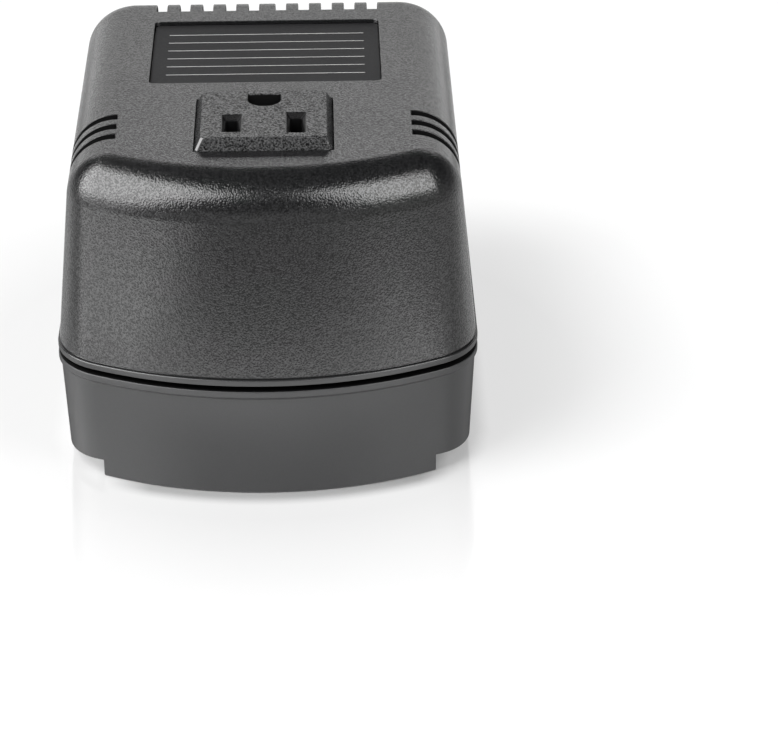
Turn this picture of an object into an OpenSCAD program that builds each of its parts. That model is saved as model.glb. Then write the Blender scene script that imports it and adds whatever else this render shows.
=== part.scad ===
// Travel voltage converter: a two-part plastic case with a transformer inside
// and one three-hole output socket in the front of its top.
// Millimetres. +Z is up, the front faces -Y, and the origin is on the table
// under the middle of the case.

/* [Housing] */
// Width across the rim band
body_w = 84; // [81:0.5:94]
// Length from the middle of the bowed front to the back
body_l = 110; // [106:0.5:124]
// Height of the flat top above the table
body_h = 66.2; // [63:0.2:76]
// Plan radius of the bowed front
bow_r = 73.5; // [66:0.5:110]
// Plan radius of the four corners
corner_r = 14; // [13:0.25:17]
// Wall thickness of both shells
wall = 2.5; // [2:0.1:3]
// Lean of the cover's walls from upright, in degrees
cover_lean = 5.3; // [4:0.1:7]
// Lean of the base's walls from upright, in degrees
base_lean = 3; // [2:0.1:6]
// Radius between the cover's walls and its top, limited by the corners
brow_r = 9.5; // [7:0.25:11]
// Radius along the base's bottom edge
foot_r = 0.5; // [0.3:0.1:1.5]

/* [Rim joint] */
// Height of the base's top edge
base_h = 23.5; // [21:0.1:26]
// Height of the lip round the base's top edge
lip_h = 1.3; // [0.8:0.1:2]
// How far the lip stands proud of the base's wall
lip_out = 0.5; // [0.3:0.1:1]
// Open shadow gap between the two shells
shadow_gap = 1.2; // [0.6:0.1:2]
// Height of the cover's smooth rim band
band_h = 1.25; // [0.8:0.05:2]
// How far the rim band stands proud of the cover's wall
band_out = 0.35; // [0.2:0.05:0.6]
// Height of the groove above the rim band
groove_h = 0.35; // [0.2:0.05:0.6]
// Depth of that groove, from the face of the band
groove_d = 0.8; // [0.6:0.05:1.2]
// Thickness of the tongue that stands up from the base inside the cover
tongue_t = 1.4; // [1:0.1:2]
// How far the tongue reaches into the cover
tongue_in = 4; // [2:0.25:6]
// Clearance between the tongue and the cover
tongue_fit = 0.25; // [0.15:0.05:0.5]

/* [Base] */
// Thickness of the floor
floor_t = 2.5; // [2:0.1:3.5]
// Half width of the land between the corner reliefs
land_half = 33.3; // [33:0.1:36]
// Height of the corner reliefs beside that land
relief_h = 3.7; // [2:0.1:5]
// Fall of the reliefs towards the sides of the case
relief_fall = 0.8; // [0:0.1:1.5]
// Length of each corner relief
relief_l = 24; // [18:0.5:30]

/* [Case screws] */
// Distance from the side of the case to a case screw
screw_side = 14; // [13.5:0.5:16]
// Distance from the front to the front case screws
screw_front = 21; // [20:0.5:24]
// Distance from the back to the rear case screws
screw_back = 10; // [9.5:0.25:11]
// Radius of the screw pillars
pillar_r = 4; // [3.5:0.1:4.4]
// Radius of the case screws' shank
case_screw_r = 1.5; // [1.2:0.05:1.8]
// Length of the case screws under the head
case_screw_l = 22; // [18:0.5:26]
// Height of the screw heads' seat above the table
screw_seat = 14; // [10:0.5:17]
// Radius of the case screws' heads
case_head_r = 2.9; // [2.4:0.1:3.1]
// Height of the case screws' heads
case_head_h = 2.2; // [1.5:0.1:3]

/* [Vents] */
// Number of rear slots in each of the two groups
rear_slots = 5; // [3:1:6]
// Width of a rear slot
rear_slot_w = 2.3; // [1.5:0.05:2.6]
// Spacing of the rear slots
rear_pitch = 4.93; // [4:0.01:5.2]
// Spacing of the two slots either side of the middle
rear_middle = 5.8; // [5:0.1:8]
// Distance from the back to the front ends of the rear slots
rear_slot_in = 14.8; // [13.5:0.1:18]
// Number of side slots on each side
side_slots = 3; // [2:1:4]
// Width of a side slot
side_slot_w = 2.45; // [1.5:0.05:3]
// Spacing of the side slots
side_pitch = 4.85; // [4:0.05:5.5]
// Distance from the side to the inner ends of the side slots
side_slot_in = 12.8; // [12:0.1:16]
// Depth of all slots below the top
slot_drop = 18; // [12:0.5:22]

/* [Label] */
// Width of the label recess
label_w = 47.5; // [40:0.5:52]
// Length of the label recess
label_l = 34; // [27:0.5:35]
// Depth of the label recess
label_d = 1.2; // [0.8:0.1:1.5]
// Corner radius of the label recess
label_r = 1.2; // [0.5:0.1:3]
// Distance from the blade line to the label recess
label_set = 26.6; // [24:0.1:30]
// Thickness of the label
plate_t = 0.4; // [0.2:0.05:0.6]
// Gap round the label
plate_fit = 0.2; // [0.1:0.05:0.5]

/* [Socket] */
// Distance from the front to the line of the blade slots
socket_set = 28.4; // [27:0.1:31]
// Width of the socket boss where it leaves the top
socket_w = 27.1; // [25:0.1:29]
// Length of the socket boss where it leaves the top
socket_l = 25.7; // [24.5:0.1:27]
// Distance from the blade line to the front of the boss
socket_ahead = 8.3; // [7:0.1:9]
// Height of the socket face above the top
socket_rise = 2.3; // [1.5:0.1:3]
// Inset of the socket face from the boss's edge
socket_bevel = 1.15; // [0.5:0.05:2]
// Gap between the boss and its opening in the cover
socket_fit = 0.2; // [0.1:0.05:0.4]
// Spacing of the two blade slots
blade_gap = 12.7; // [12:0.1:13.4]
// Distance from the blade line to the earth pin
earth_set = 11.9; // [11:0.1:12.4]
// Width of a blade slot
blade_w = 2.3; // [2:0.05:2.8]
// Length of the line blade's slot
line_l = 6.9; // [6.5:0.1:8]
// Length of the neutral blade's slot
neutral_l = 8.4; // [8:0.1:9.5]
// Widening of the lead-in round each blade slot
lead_in = 0.85; // [0.4:0.05:1.2]
// Depth of the lead-in
lead_d = 1; // [0.5:0.1:2]
// Width of the earth pin's hole
earth_w = 6.6; // [6:0.1:7]
// Length of the earth hole behind its round end's centre
earth_back = 2.65; // [2:0.05:3]
// Thickness of the socket's flange under the cover
flange_t = 1.6; // [1:0.1:2.5]
// How far the flange reaches past the boss
flange_over = 1.8; // [1.2:0.1:2.4]

/* [Contacts] */
// Height of the contact carrier
carrier_h = 15.9; // [14:0.1:18]
// Thickness of the carrier's floor
carrier_floor = 2; // [1.5:0.1:3]
// Thickness of the carrier's screw ears
ear_t = 3; // [2:0.1:4]
// Distance from the carrier's side to its screws
ear_set = 3.9; // [3.7:0.1:4.4]
// Radius of the carrier's screw posts in the cover
ear_post_r = 3; // [2.6:0.1:3.4]
// Length of those posts below the cover's roof
ear_post_l = 5.5; // [4.5:0.1:7]
// Radius of the carrier screws' shank
ear_screw_r = 1.2; // [0.9:0.05:1.4]
// Radius of the carrier screws' heads
ear_head_r = 2.3; // [2:0.1:2.6]
// Thickness of the contacts' strip
strip_t = 0.6; // [0.4:0.05:0.8]
// Free gap between a contact's two leaves
leaf_gap = 1.6; // [1.55:0.05:1.9]
// Height of the contacts above the carrier's floor
leaf_h = 12.5; // [10:0.1:13]
// Length of the contacts' solder tails below the carrier
tail_l = 4; // [3:0.1:6]
// Width of the solder tails
tail_w = 3; // [2:0.1:4]
// Clearance round a contact in its pocket
pocket_fit = 0.25; // [0.15:0.05:0.35]
// Radius of the earth contact's bore
earth_bore_r = 2.45; // [2.4:0.01:2.6]
// Width of the slit in the earth contact
earth_slit = 0.8; // [0.5:0.1:1.2]

/* [Transformer] */
// Room between the side of the case and the core
core_side_room = 9; // [8.5:0.25:12]
// Room between the cover's roof and the core
core_head_room = 2.2; // [2:0.1:6]
// Room between the raised floor over the reliefs and the core
core_lift = 0.3; // [0.2:0.1:2]
// Room between the socket and the coil
coil_front_room = 1.5; // [1:0.1:3]
// Room between the back of the case and the coil
coil_back_room = 13; // [12.8:0.1:16]
// How far the wrapped coil stands out of the core, front and back
coil_over = 7.6; // [5:0.1:9]
// Clearance between the bobbin and the core
bobbin_fit = 0.2; // [0.15:0.05:0.4]
// Wall thickness of the bobbin
bobbin_t = 1.2; // [0.8:0.1:1.6]
// How far the bobbin's flanges stand past the wrapped coil
flange_lap = 0.3; // [0.2:0.05:0.6]
// Thickness of the tape round each winding
tape_t = 0.35; // [0.2:0.05:0.6]
// Radius of the core bolts
bolt_r = 2; // [1.5:0.05:2.5]
// Clearance round the core bolts
bolt_fit = 0.25; // [0.15:0.05:0.5]
// Distance across the flats of the bolt heads and nuts
bolt_af = 7; // [5.5:0.1:8]
// Height of the bolt heads and nuts
bolt_head_h = 2.8; // [2:0.1:3.2]
// Sheet thickness of the mounting brackets
bracket_t = 1.5; // [1:0.1:2]
// Reach of the brackets' feet
foot_l = 10; // [9:0.1:11]
// Width of each bracket foot
foot_w = 11; // [9:0.1:12]
// Spacing of the bracket feet
foot_gap = 32; // [28:0.5:33]
// Radius of the bracket screws' shank
foot_screw_r = 1.4; // [1:0.05:1.6]
// Radius of the bracket screws' heads
foot_head_r = 2.8; // [2.4:0.1:3.2]

/* [Terminal block] */
// Spacing of the three poles
pole_pitch = 10; // [9:0.1:11]
// Length of the block, front to back
block_l = 16; // [14:0.5:18]
// Height of the block
block_h = 12; // [11:0.25:14]
// Height of the block's seat above the table
block_seat = 8; // [6:0.25:10]
// Distance from the front of the case to the block
block_front = 10; // [9.5:0.25:12]
// Radius of the brass sleeves
sleeve_r = 2.6; // [2.4:0.05:3]
// Radius of the bore in the sleeves
sleeve_bore_r = 1.5; // [1.2:0.05:1.7]
// Radius of the clamping screws
clamp_screw_r = 1.3; // [1:0.05:1.5]
// Radius of the two screws that hold the block
block_screw_r = 1.4; // [1:0.05:1.5]
// Radius of those screws' heads
block_head_r = 2.6; // [2.2:0.1:2.8]

/* [Wiring] */
// Radius of the insulated wires
wire_r = 0.9; // [0.7:0.05:1.1]
// Radius of the thermal fuse
fuse_r = 2; // [1.5:0.05:2.4]
// Length of the thermal fuse's body
fuse_l = 11; // [9:0.25:13]
// Radius of the thermal fuse's leads
fuse_lead_r = 0.4; // [0.3:0.05:0.5]

/* [Cord entry] */
// Radius of the gland's bore
gland_bore_r = 3.6; // [3:0.05:4]
// Radius of the gland's neck in the wall
gland_neck_r = 5.8; // [5.2:0.05:6]
// Radius of the gland's flanges
gland_flange_r = 7.4; // [7:0.1:7.8]
// Thickness of the gland's outer flange
gland_flange_t = 1.4; // [1:0.1:2]
// Height of the gland above the table
gland_z = 12.5; // [11.5:0.1:13]
// Radius of the boss round the gland
gland_boss_r = 8.8; // [8.6:0.1:9.2]
// Length of the neck between the gland's flanges
gland_neck_l = 4; // [3:0.1:5]

/* [Hidden] */
$fn = 96;
// Small gap between a plain shank and the hole that it is driven into
thread_fit = 0.05;
// Clearance of a screw in a plain hole
hole_fit = 0.3;
// Small gap between neighbours that lie against each other
lie_gap = 0.1;
// How far a cut reaches past the face that it opens
past = 1;
// Least flat width of the top inside a corner's arc
brow_margin = 0.5;
// Overlap of the pieces that make up the plan
plan_lap = brow_margin / 2;
// Material left under the tip of a screw
tip_left = 1;
// Height of a small screw's head, as a share of its radius
head_share = 0.7;
// Length and width of a screw's recess, as shares of its head's radius
recess_shares = [1.3, 0.25];
// How far a pad is smaller than what stands on it, all round
pad_inset = 1;
// How far a leaf of a contact stands out at its root from its pinch
leaf_spread = 0.5;
// Height of a leaf's pinch, as a share of its height
pinch_share = 0.72;
// How much shorter a contact is than its blade slot
contact_trim = 0.6;
// Clearance between the bobbin's flanges and the core's outer legs
leg_fit = 0.4;
// Corner radius of the windings
coil_corner = 4;
// Distance from the end of a bracket's foot to its screw
foot_edge = 4.5;
// Length of a core bolt past its nut
bolt_end = 0.5;
// Radius of a washer, as a share of the nut's distance across its flats
washer_share = 0.62;
// Corner radius of the terminal block
block_round = 1.5;
// How far the sleeves are set back from the block's faces
sleeve_back = 1;
// Depth and width of the slot in a clamping screw
clamp_slot = [0.8, 0.5];
// Length of the gland's barb, and how much smaller than the flange it is
gland_barb = [2, 0.4];
// Length of the fuse's leads
fuse_lead = 3.5;
// Straight run of a wire out of the terminal block, at a winding and at a tail
wire_run = 6;
wire_end = 2.5;
wire_tail = 2;
// How far a wire swings aside between its ends
wire_side = 4;
// Steps along the round stretches of a section
arc_steps = 10;

// Colours
shell_grey = "#45464a";
socket_grey = "#3c3d40";
label_grey = "#303134";
rubber_black = "#202022";
brass_yellow = "#c9a24a";
copper_red = "#a85a32";
steel_grey = "#8d9094";
zinc_grey = "#b4b7ba";
nylon_white = "#d8d5cb";
nylon_black = "#1d1d1f";
tape_yellow = "#d8b93c";

// Plan: straight back and sides, round corners and a bowed front
half_w = body_w / 2;
y_front = -body_l / 2;
y_back = body_l / 2;
bow_y = y_front + bow_r;
corner_x = half_w - corner_r;
front_corner_y = bow_y - sqrt(pow(bow_r - corner_r, 2) - pow(corner_x, 2));
back_corner_y = y_back - corner_r;
corner_out = [corner_x, front_corner_y - bow_y];

// Heights of the rim joint and the roof
cover_z = base_h + shadow_gap;
band_top = cover_z + band_h;
wall_z = band_top + groove_h;
roof_z = body_h - wall;
tongue_top = cover_z + tongue_in;
lip_z = base_h - lip_h;

// Section of the cover: leaning wall, round brow, flat top
brow_lean = cos(cover_lean) - tan(cover_lean) + sin(cover_lean) * tan(cover_lean);
brow_room = corner_r - brow_margin - band_out - (body_h - wall_z) * tan(cover_lean);
brow = min(brow_r, brow_room / brow_lean);
brow_z = body_h - brow;
brow_x = -band_out - (brow_z + brow * sin(cover_lean) - wall_z) * tan(cover_lean) - brow * cos(cover_lean);

// Section of the base: leaning wall, proud lip, tongue
tongue_x = band_out + wall + (tongue_top - wall_z) * tan(cover_lean) + tongue_fit;
tongue_in_x = tongue_x + tongue_t;
shelf_z = base_h - wall;

// Case screws
screw_x = half_w - screw_side;
screw_ys = [y_front + screw_front, y_back - screw_back];

// Socket
blade_y = y_front + socket_set;
boss_y0 = blade_y - socket_ahead;
boss_y1 = boss_y0 + socket_l;
face_z = body_h + socket_rise;
flange_z = roof_z - flange_t;
carrier_z = flange_z - carrier_h;
carrier_half = socket_w / 2 + flange_over;
carrier_y0 = boss_y0 - flange_over;
carrier_y1 = boss_y1 + flange_over;
pocket_z = carrier_z + carrier_floor;
earth_y = blade_y + earth_set;
ear_x = carrier_half + ear_set;
ear_y = (carrier_y0 + carrier_y1) / 2;
ear_z = roof_z - ear_post_l;
ear_w = 2 * (ear_post_r + wall / 5);
leaf_root = leaf_gap / 2 + strip_t + leaf_spread;
earth_tube_r = earth_bore_r + strip_t;
label_y = blade_y + label_set;

// Transformer: the largest core of standard proportions that fits
core_seat = relief_h + floor_t + core_lift;
core_unit = min((body_w - 2 * core_side_room) / 6, (roof_z - core_head_room - core_seat) / 5);
core_half = 3 * core_unit;
core_top = core_seat + 5 * core_unit;
e_top = core_seat + 4 * core_unit;
coil_y0 = carrier_y1 + coil_front_room;
coil_y1 = y_back - coil_back_room;
core_y0 = coil_y0 + coil_over;
core_y1 = coil_y1 - coil_over;
core_cy = (core_y0 + core_y1) / 2;
stack = core_y1 - core_y0;
bolt_x = core_half - core_unit / 2;
bolt_zs = [core_seat + core_unit / 2, core_top - core_unit / 2];
bobbin_z0 = core_seat + core_unit + bobbin_fit;
bobbin_z1 = e_top - bobbin_fit;
bobbin_mid = (bobbin_z0 + bobbin_z1) / 2;
tube_x = core_unit + bobbin_fit + bobbin_t;
tube_y = stack / 2 + bobbin_fit + bobbin_t;
coil_half_y = (coil_y1 - coil_y0) / 2;
coil_half_x = 2 * core_unit - bobbin_fit - flange_lap - leg_fit;
winding_h = (bobbin_z1 - bobbin_z0 - 3 * bobbin_t) / 2;
winding_zs = [bobbin_z0 + bobbin_t, bobbin_mid + bobbin_t / 2];
foot_hole = foot_l - foot_edge;
foot_y0 = core_y0 - bracket_t - foot_hole;
foot_y1 = core_y1 + bracket_t + foot_hole;

// Terminal block
block_w = 3 * pole_pitch;
block_y0 = y_front + block_front;
block_cy = block_y0 + block_l / 2;
pole_z = block_seat + block_h / 2;
sleeve_l = block_l - 2 * sleeve_back;
clamp_dy = sleeve_l / 4;
block_top = block_seat + block_h;

// Gland
gland_face = y_back - lip_out;
gland_in = gland_face - gland_flange_t - gland_neck_l;

// Thermal fuse against the front of the lower winding
fuse_y = coil_y0 - fuse_r - lie_gap;
fuse_z = winding_zs[0] + winding_h / 2;

// Points on an arc, from one angle to another
function arc(c, r, a0, a1, n = arc_steps) =
    [for (i = [0:n]) let (a = a0 + (a1 - a0) * i / n) [c[0] + r * cos(a), c[1] + r * sin(a)]];

// Offset of the base's outer wall from the plan line at a height
function base_x(z) = -lip_out - (lip_z - lip_out - z) * tan(base_lean);

// Outer section of the cover, as offset from the plan line and height, reaching in by a depth
function cover_outer(reach) = concat(
    [[-reach, cover_z], [0, cover_z], [0, band_top]],
    [[-groove_d, band_top], [-groove_d, wall_z], [-band_out, wall_z]],
    arc([brow_x, brow_z], brow, cover_lean, 90),
    [[-reach, body_h]]);

// Inner section of the cover
function cover_inner(reach) = concat(
    [[-reach, cover_z - past], [-band_out - wall, cover_z - past], [-band_out - wall, wall_z]],
    arc([brow_x, brow_z], brow - wall, cover_lean, 90),
    [[-reach, roof_z]]);

// Outer section of the base with its lip and tongue
function base_outer(reach) = let (foot_x = base_x(foot_r * (1 - sin(base_lean)))) concat(
    [[-reach, 0]],
    arc([foot_x - foot_r * cos(base_lean), foot_r], foot_r, -90, -base_lean, 4),
    [[-lip_out, lip_z - lip_out], [0, lip_z], [0, base_h]],
    [[-tongue_x, base_h], [-tongue_x, tongue_top], [-reach, tongue_top]]);

// Inner section of the base
function base_inner(reach) = let (drop = tongue_in_x - wall + base_x(shelf_z)) [
    [-reach, floor_t], [base_x(floor_t) - wall, floor_t],
    [base_x(shelf_z - drop) - wall, shelf_z - drop], [-tongue_in_x, shelf_z],
    [-tongue_in_x, tongue_top + past], [-reach, tongue_top + past]];

// Room in front of the corners' centres that the bow takes up
module bow_room() {
    near = [corner_x, front_corner_y];
    far = near + corner_out;
    translate([0, 0, -body_h]) linear_extrude(3 * body_h)
        polygon([[-near[0], near[1]], [-far[0], far[1]], far, near]);
}

// Solid of the plan whose edge follows a section, given as a function of how far in it reaches
module plan_solid(section) {
    corner = section(corner_r);
    strip = section(corner_r + plan_lap);
    intersection() {
        translate([0, bow_y]) rotate_extrude() translate([bow_r, 0]) polygon(section(bow_r));
        bow_room();
    }
    for (side = [0, 1]) mirror([side, 0, 0]) {
        for (y = [front_corner_y, back_corner_y])
            translate([corner_x, y]) rotate_extrude() translate([corner_r, 0]) polygon(corner);
        translate([half_w, back_corner_y]) rotate([90, 0, 0])
            linear_extrude(back_corner_y - front_corner_y) polygon(strip);
    }
    translate([-corner_x, y_back]) rotate([90, 0, 90]) linear_extrude(2 * corner_x) polygon(strip);
    span([-corner_x, front_corner_y - plan_lap, corner[0][1]],
         [corner_x, back_corner_y, corner[len(corner) - 1][1]]);
}

// Box from two corners
module span(a, b) {
    translate(a) cube(b - a);
}

// Block with four upright round edges
module round_block(size, r) {
    linear_extrude(size[2]) offset(r, $fn = 32) square([size[0] - 2 * r, size[1] - 2 * r], center = true);
}

// Rectangular block that narrows upwards by an inset on all sides, on a straight shank
module bevel_block(w, l, shank, rise, inset) {
    intersection() {
        translate([0, l / 2]) rotate([90, 0, 0]) linear_extrude(l) bevel_side(w / 2, shank, rise, inset);
        translate([-w / 2, 0]) rotate([90, 0, 90]) linear_extrude(w) bevel_side(l / 2, shank, rise, inset);
    }
}

module bevel_side(half, shank, rise, inset) {
    polygon([[-half, -shank], [half, -shank], [half, 0],
             [half - inset, rise], [inset - half, rise], [-half, 0]]);
}

// Pan-head screw pointing up, its head below the origin
module screw_up(shank_r, length, head_r, head_h) {
    difference() {
        union() {
            cylinder(r = shank_r, h = length);
            translate([0, 0, -head_h]) cylinder(r = head_r, h = head_h);
        }
        for (turn = [0, 90]) rotate(turn) translate([0, 0, -head_h])
            cube([recess_shares[0] * head_r, recess_shares[1] * head_r, head_h], center = true);
    }
}

// Places its children at the four case screws
module at_case_screws() {
    for (side = [-1, 1], y = screw_ys) translate([side * screw_x, y]) children();
}

// Places its children at the bracket feet's screws
module at_feet() {
    for (side = [-1, 1], y = [foot_y0, foot_y1]) translate([side * foot_gap / 2, y]) children();
}

// Places its children at the four core bolts, along the stack
module at_bolts() {
    for (side = [-1, 1], z = bolt_zs) translate([side * bolt_x, 0, z]) children();
}

module base_shell() {
    color(shell_grey) difference() {
        union() {
            plan_solid(function (reach) base_outer(reach));
            gland_boss();
        }
        difference() {
            plan_solid(function (reach) base_inner(reach));
            base_inside();
        }
        for (side = [0, 1], end = [0, 1]) mirror([side, 0, 0]) mirror([0, end, 0])
            translate([0, y_front + relief_l]) rotate([90, 0, 0]) linear_extrude(relief_l + past)
                polygon([[land_half, -past], [land_half, relief_h],
                         [half_w, relief_h - relief_fall], [half_w, -past]]);
        at_case_screws() {
            translate([0, 0, -past]) cylinder(r = case_head_r + hole_fit, h = screw_seat + past);
            cylinder(r = case_screw_r + hole_fit, h = cover_z + past);
        }
        at_feet() translate([0, 0, tip_left]) cylinder(r = foot_screw_r + thread_fit, h = core_seat);
        for (side = [-1, 1]) translate([side * pole_pitch / 2, block_cy, floor_t])
            cylinder(r = block_screw_r + thread_fit, h = block_seat);
        translate([0, y_back, gland_z]) rotate([90, 0, 0]) {
            cylinder(r = gland_neck_r, h = y_back - gland_in + past);
            cylinder(r = gland_flange_r + hole_fit, h = y_back - gland_face + gland_flange_t);
        }
    }
}

// What stands on the base's floor
module base_inside() {
    at_case_screws() cylinder(r = pillar_r, h = cover_z);
    at_feet() cylinder(r = foot_w / 2 - pad_inset, h = core_seat);
    for (side = [-1, 1]) {
        translate([side * pole_pitch / 2, block_cy]) cylinder(r = pole_pitch / 2 - pad_inset, h = block_seat);
        translate([side * foot_gap / 2, core_cy, core_seat / 2])
            cube([foot_w / 2, stack - 2 * pad_inset, core_seat], center = true);
    }
    for (side = [0, 1], end = [0, 1]) mirror([side, 0, 0]) mirror([0, end, 0])
        span([land_half - floor_t, y_front, 0], [half_w, y_front + relief_l + floor_t, relief_h + floor_t]);
    gland_boss();
}

// Upright boss through the leaning rear wall, for the gland
module gland_boss() {
    translate([0, gland_face, gland_z]) rotate([90, 0, 0])
        cylinder(r = gland_boss_r, h = gland_flange_t + gland_neck_l);
}

module top_cover() {
    color(shell_grey) difference() {
        plan_solid(function (reach) cover_outer(reach));
        difference() {
            plan_solid(function (reach) cover_inner(reach));
            at_case_screws() translate([0, 0, cover_z - past]) cylinder(r = pillar_r, h = body_h);
            for (side = [-1, 1]) translate([side * ear_x, ear_y, ear_z]) cylinder(r = ear_post_r, h = body_h);
        }
        at_case_screws() translate([0, 0, cover_z - past])
            cylinder(r = case_screw_r + thread_fit, h = screw_seat + case_screw_l - cover_z + 2 * past);
        for (side = [-1, 1]) translate([side * ear_x, ear_y, ear_z - past])
            cylinder(r = ear_screw_r + thread_fit, h = ear_post_l + past);
        translate([0, (boss_y0 + boss_y1) / 2, roof_z - past])
            linear_extrude(wall + 2 * past)
                square([socket_w + 2 * socket_fit, socket_l + 2 * socket_fit], center = true);
        translate([0, label_y + label_l / 2, body_h - label_d])
            round_block([label_w, label_l, label_d + past], label_r);
        translate([0, 0, body_h - slot_drop]) {
            for (side = [0, 1], i = [0:rear_slots - 1]) mirror([side, 0, 0])
                translate([rear_middle / 2 + i * rear_pitch - rear_slot_w / 2, y_back - rear_slot_in])
                    cube([rear_slot_w, rear_slot_in + past, slot_drop + past]);
            for (side = [0, 1], i = [0:side_slots - 1]) mirror([side, 0, 0])
                translate([half_w - side_slot_in, side_slot_y(i) - side_slot_w / 2])
                    cube([side_slot_in + past, side_slot_w, slot_drop + past]);
        }
    }
}

// Side slots are spread evenly about the middle of the socket
function side_slot_y(i) = (boss_y0 + boss_y1) / 2 + (i - (side_slots - 1) / 2) * side_pitch;

module case_screws() {
    color(zinc_grey) at_case_screws() translate([0, 0, screw_seat])
        screw_up(case_screw_r, case_screw_l, case_head_r, case_head_h);
}

module rating_plate() {
    color(label_grey) translate([0, label_y + label_l / 2, body_h - label_d])
        round_block([label_w - 2 * plate_fit, label_l - 2 * plate_fit, plate_t], label_r);
}

module cord_gland() {
    barb_at = gland_flange_t + gland_neck_l + lie_gap;
    color(rubber_black) translate([0, gland_face, gland_z]) rotate([90, 0, 0]) difference() {
        union() {
            cylinder(r = gland_flange_r, h = gland_flange_t);
            cylinder(r = gland_neck_r - thread_fit, h = barb_at);
            translate([0, 0, barb_at])
                cylinder(r1 = gland_flange_r - gland_barb[1], r2 = gland_neck_r, h = gland_barb[0]);
        }
        translate([0, 0, -past]) cylinder(r = gland_bore_r, h = barb_at + gland_barb[0] + 2 * past);
    }
}

// Blade slot with its lead-in, cut down from the socket face
module blade_slot(length) {
    translate([-blade_w / 2, -length / 2, flange_z - past]) cube([blade_w, length, face_z]);
    translate([0, 0, face_z]) rotate([180, 0, 0])
        bevel_block(blade_w + 2 * lead_in, length + 2 * lead_in, past, lead_d, lead_in);
}

module socket_face() {
    color(socket_grey) difference() {
        union() {
            translate([0, (boss_y0 + boss_y1) / 2, body_h])
                bevel_block(socket_w, socket_l, wall + flange_t / 2, socket_rise, socket_bevel);
            span([-carrier_half, carrier_y0, flange_z], [carrier_half, carrier_y1, roof_z]);
        }
        translate([-blade_gap / 2, blade_y]) blade_slot(line_l);
        translate([blade_gap / 2, blade_y]) blade_slot(neutral_l);
        translate([0, earth_y, flange_z - past]) cylinder(r = earth_w / 2, h = face_z);
        translate([-earth_w / 2, earth_y, flange_z - past]) cube([earth_w, earth_back, face_z]);
    }
}

// Room for a folded strip contact of the given length
module strip_pocket(length) {
    half = leaf_root + strip_t + pocket_fit;
    span([-half, -length / 2 - pocket_fit, pocket_z], [half, length / 2 + pocket_fit, flange_z + past]);
    span([-strip_t / 2 - pocket_fit, -tail_w / 2 - pocket_fit, carrier_z - past],
         [strip_t / 2 + pocket_fit, tail_w / 2 + pocket_fit, pocket_z + past]);
}

module contact_carrier() {
    color(nylon_black) difference() {
        union() {
            span([-carrier_half, carrier_y0, carrier_z], [carrier_half, carrier_y1, flange_z]);
            for (side = [-1, 1]) {
                translate([side * ear_x / 2, ear_y, ear_z - ear_t / 2])
                    cube([ear_x, ear_w, ear_t], center = true);
                translate([side * ear_x, ear_y, ear_z - ear_t]) cylinder(r = ear_w / 2, h = ear_t);
            }
        }
        translate([-blade_gap / 2, blade_y]) strip_pocket(line_l - contact_trim);
        translate([blade_gap / 2, blade_y]) strip_pocket(neutral_l - contact_trim);
        translate([0, earth_y, pocket_z]) cylinder(r = earth_tube_r + pocket_fit, h = carrier_h);
        translate([-tail_w / 2 - pocket_fit, earth_y - strip_t / 2 - pocket_fit, carrier_z - past])
            cube([tail_w + 2 * pocket_fit, strip_t + 2 * pocket_fit, carrier_h]);
        for (side = [-1, 1]) translate([side * ear_x, ear_y, ear_z - ear_t - past])
            cylinder(r = ear_screw_r + hole_fit, h = ear_t + 2 * past);
    }
}

// One leaf of a strip contact: in to the pinch, out again at the mouth
module leaf() {
    pinch = leaf_gap / 2;
    pinch_z = pinch_share * leaf_h;
    polygon([[leaf_root, 0], [leaf_root + strip_t, 0], [leaf_root + strip_t, leaf_h / 3],
             [pinch + strip_t, pinch_z], [leaf_root, leaf_h], [leaf_root - strip_t, leaf_h],
             [pinch, pinch_z], [leaf_root, leaf_h / 3]]);
}

// Folded strip contact with a solder tail
module strip_contact(length) {
    color(brass_yellow) translate([0, 0, pocket_z]) {
        translate([0, length / 2]) rotate([90, 0, 0]) linear_extrude(length) {
            leaf();
            mirror([1, 0]) leaf();
            translate([-leaf_root - strip_t, 0]) square([2 * (leaf_root + strip_t), strip_t]);
        }
        span([-strip_t / 2, -tail_w / 2, -carrier_floor - tail_l], [strip_t / 2, tail_w / 2, strip_t]);
    }
}

module line_contact() {
    translate([-blade_gap / 2, blade_y]) strip_contact(line_l - contact_trim);
}

module neutral_contact() {
    translate([blade_gap / 2, blade_y]) strip_contact(neutral_l - contact_trim);
}

module earth_contact() {
    color(brass_yellow) translate([0, earth_y, pocket_z]) {
        difference() {
            cylinder(r = earth_tube_r, h = leaf_h);
            translate([0, 0, strip_t]) cylinder(r = earth_bore_r, h = leaf_h);
            translate([-earth_slit / 2, 0, strip_t]) cube([earth_slit, 2 * earth_tube_r, leaf_h]);
        }
        span([-tail_w / 2, -strip_t / 2, -carrier_floor - tail_l], [tail_w / 2, strip_t / 2, strip_t]);
    }
}

module carrier_screws() {
    color(zinc_grey) for (side = [-1, 1]) translate([side * ear_x, ear_y, ear_z - ear_t])
        screw_up(ear_screw_r, ear_t + ear_post_l - tip_left, ear_head_r, head_share * ear_head_r);
}

module core_e_stack() {
    color(steel_grey) difference() {
        span([-core_half, core_y0, core_seat], [core_half, core_y1, e_top]);
        for (side = [0, 1]) mirror([side, 0, 0])
            span([core_unit, core_y0 - past, core_seat + core_unit],
                 [2 * core_unit, core_y1 + past, e_top + past]);
        for (side = [-1, 1]) translate([side * bolt_x, core_y1 + past, bolt_zs[0]]) rotate([90, 0, 0])
            cylinder(r = bolt_r + bolt_fit, h = stack + 2 * past);
    }
}

module core_i_stack() {
    color(steel_grey) difference() {
        span([-core_half, core_y0, e_top], [core_half, core_y1, core_top]);
        for (side = [-1, 1]) translate([side * bolt_x, core_y1 + past, bolt_zs[1]]) rotate([90, 0, 0])
            cylinder(r = bolt_r + bolt_fit, h = stack + 2 * past);
    }
}

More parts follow.
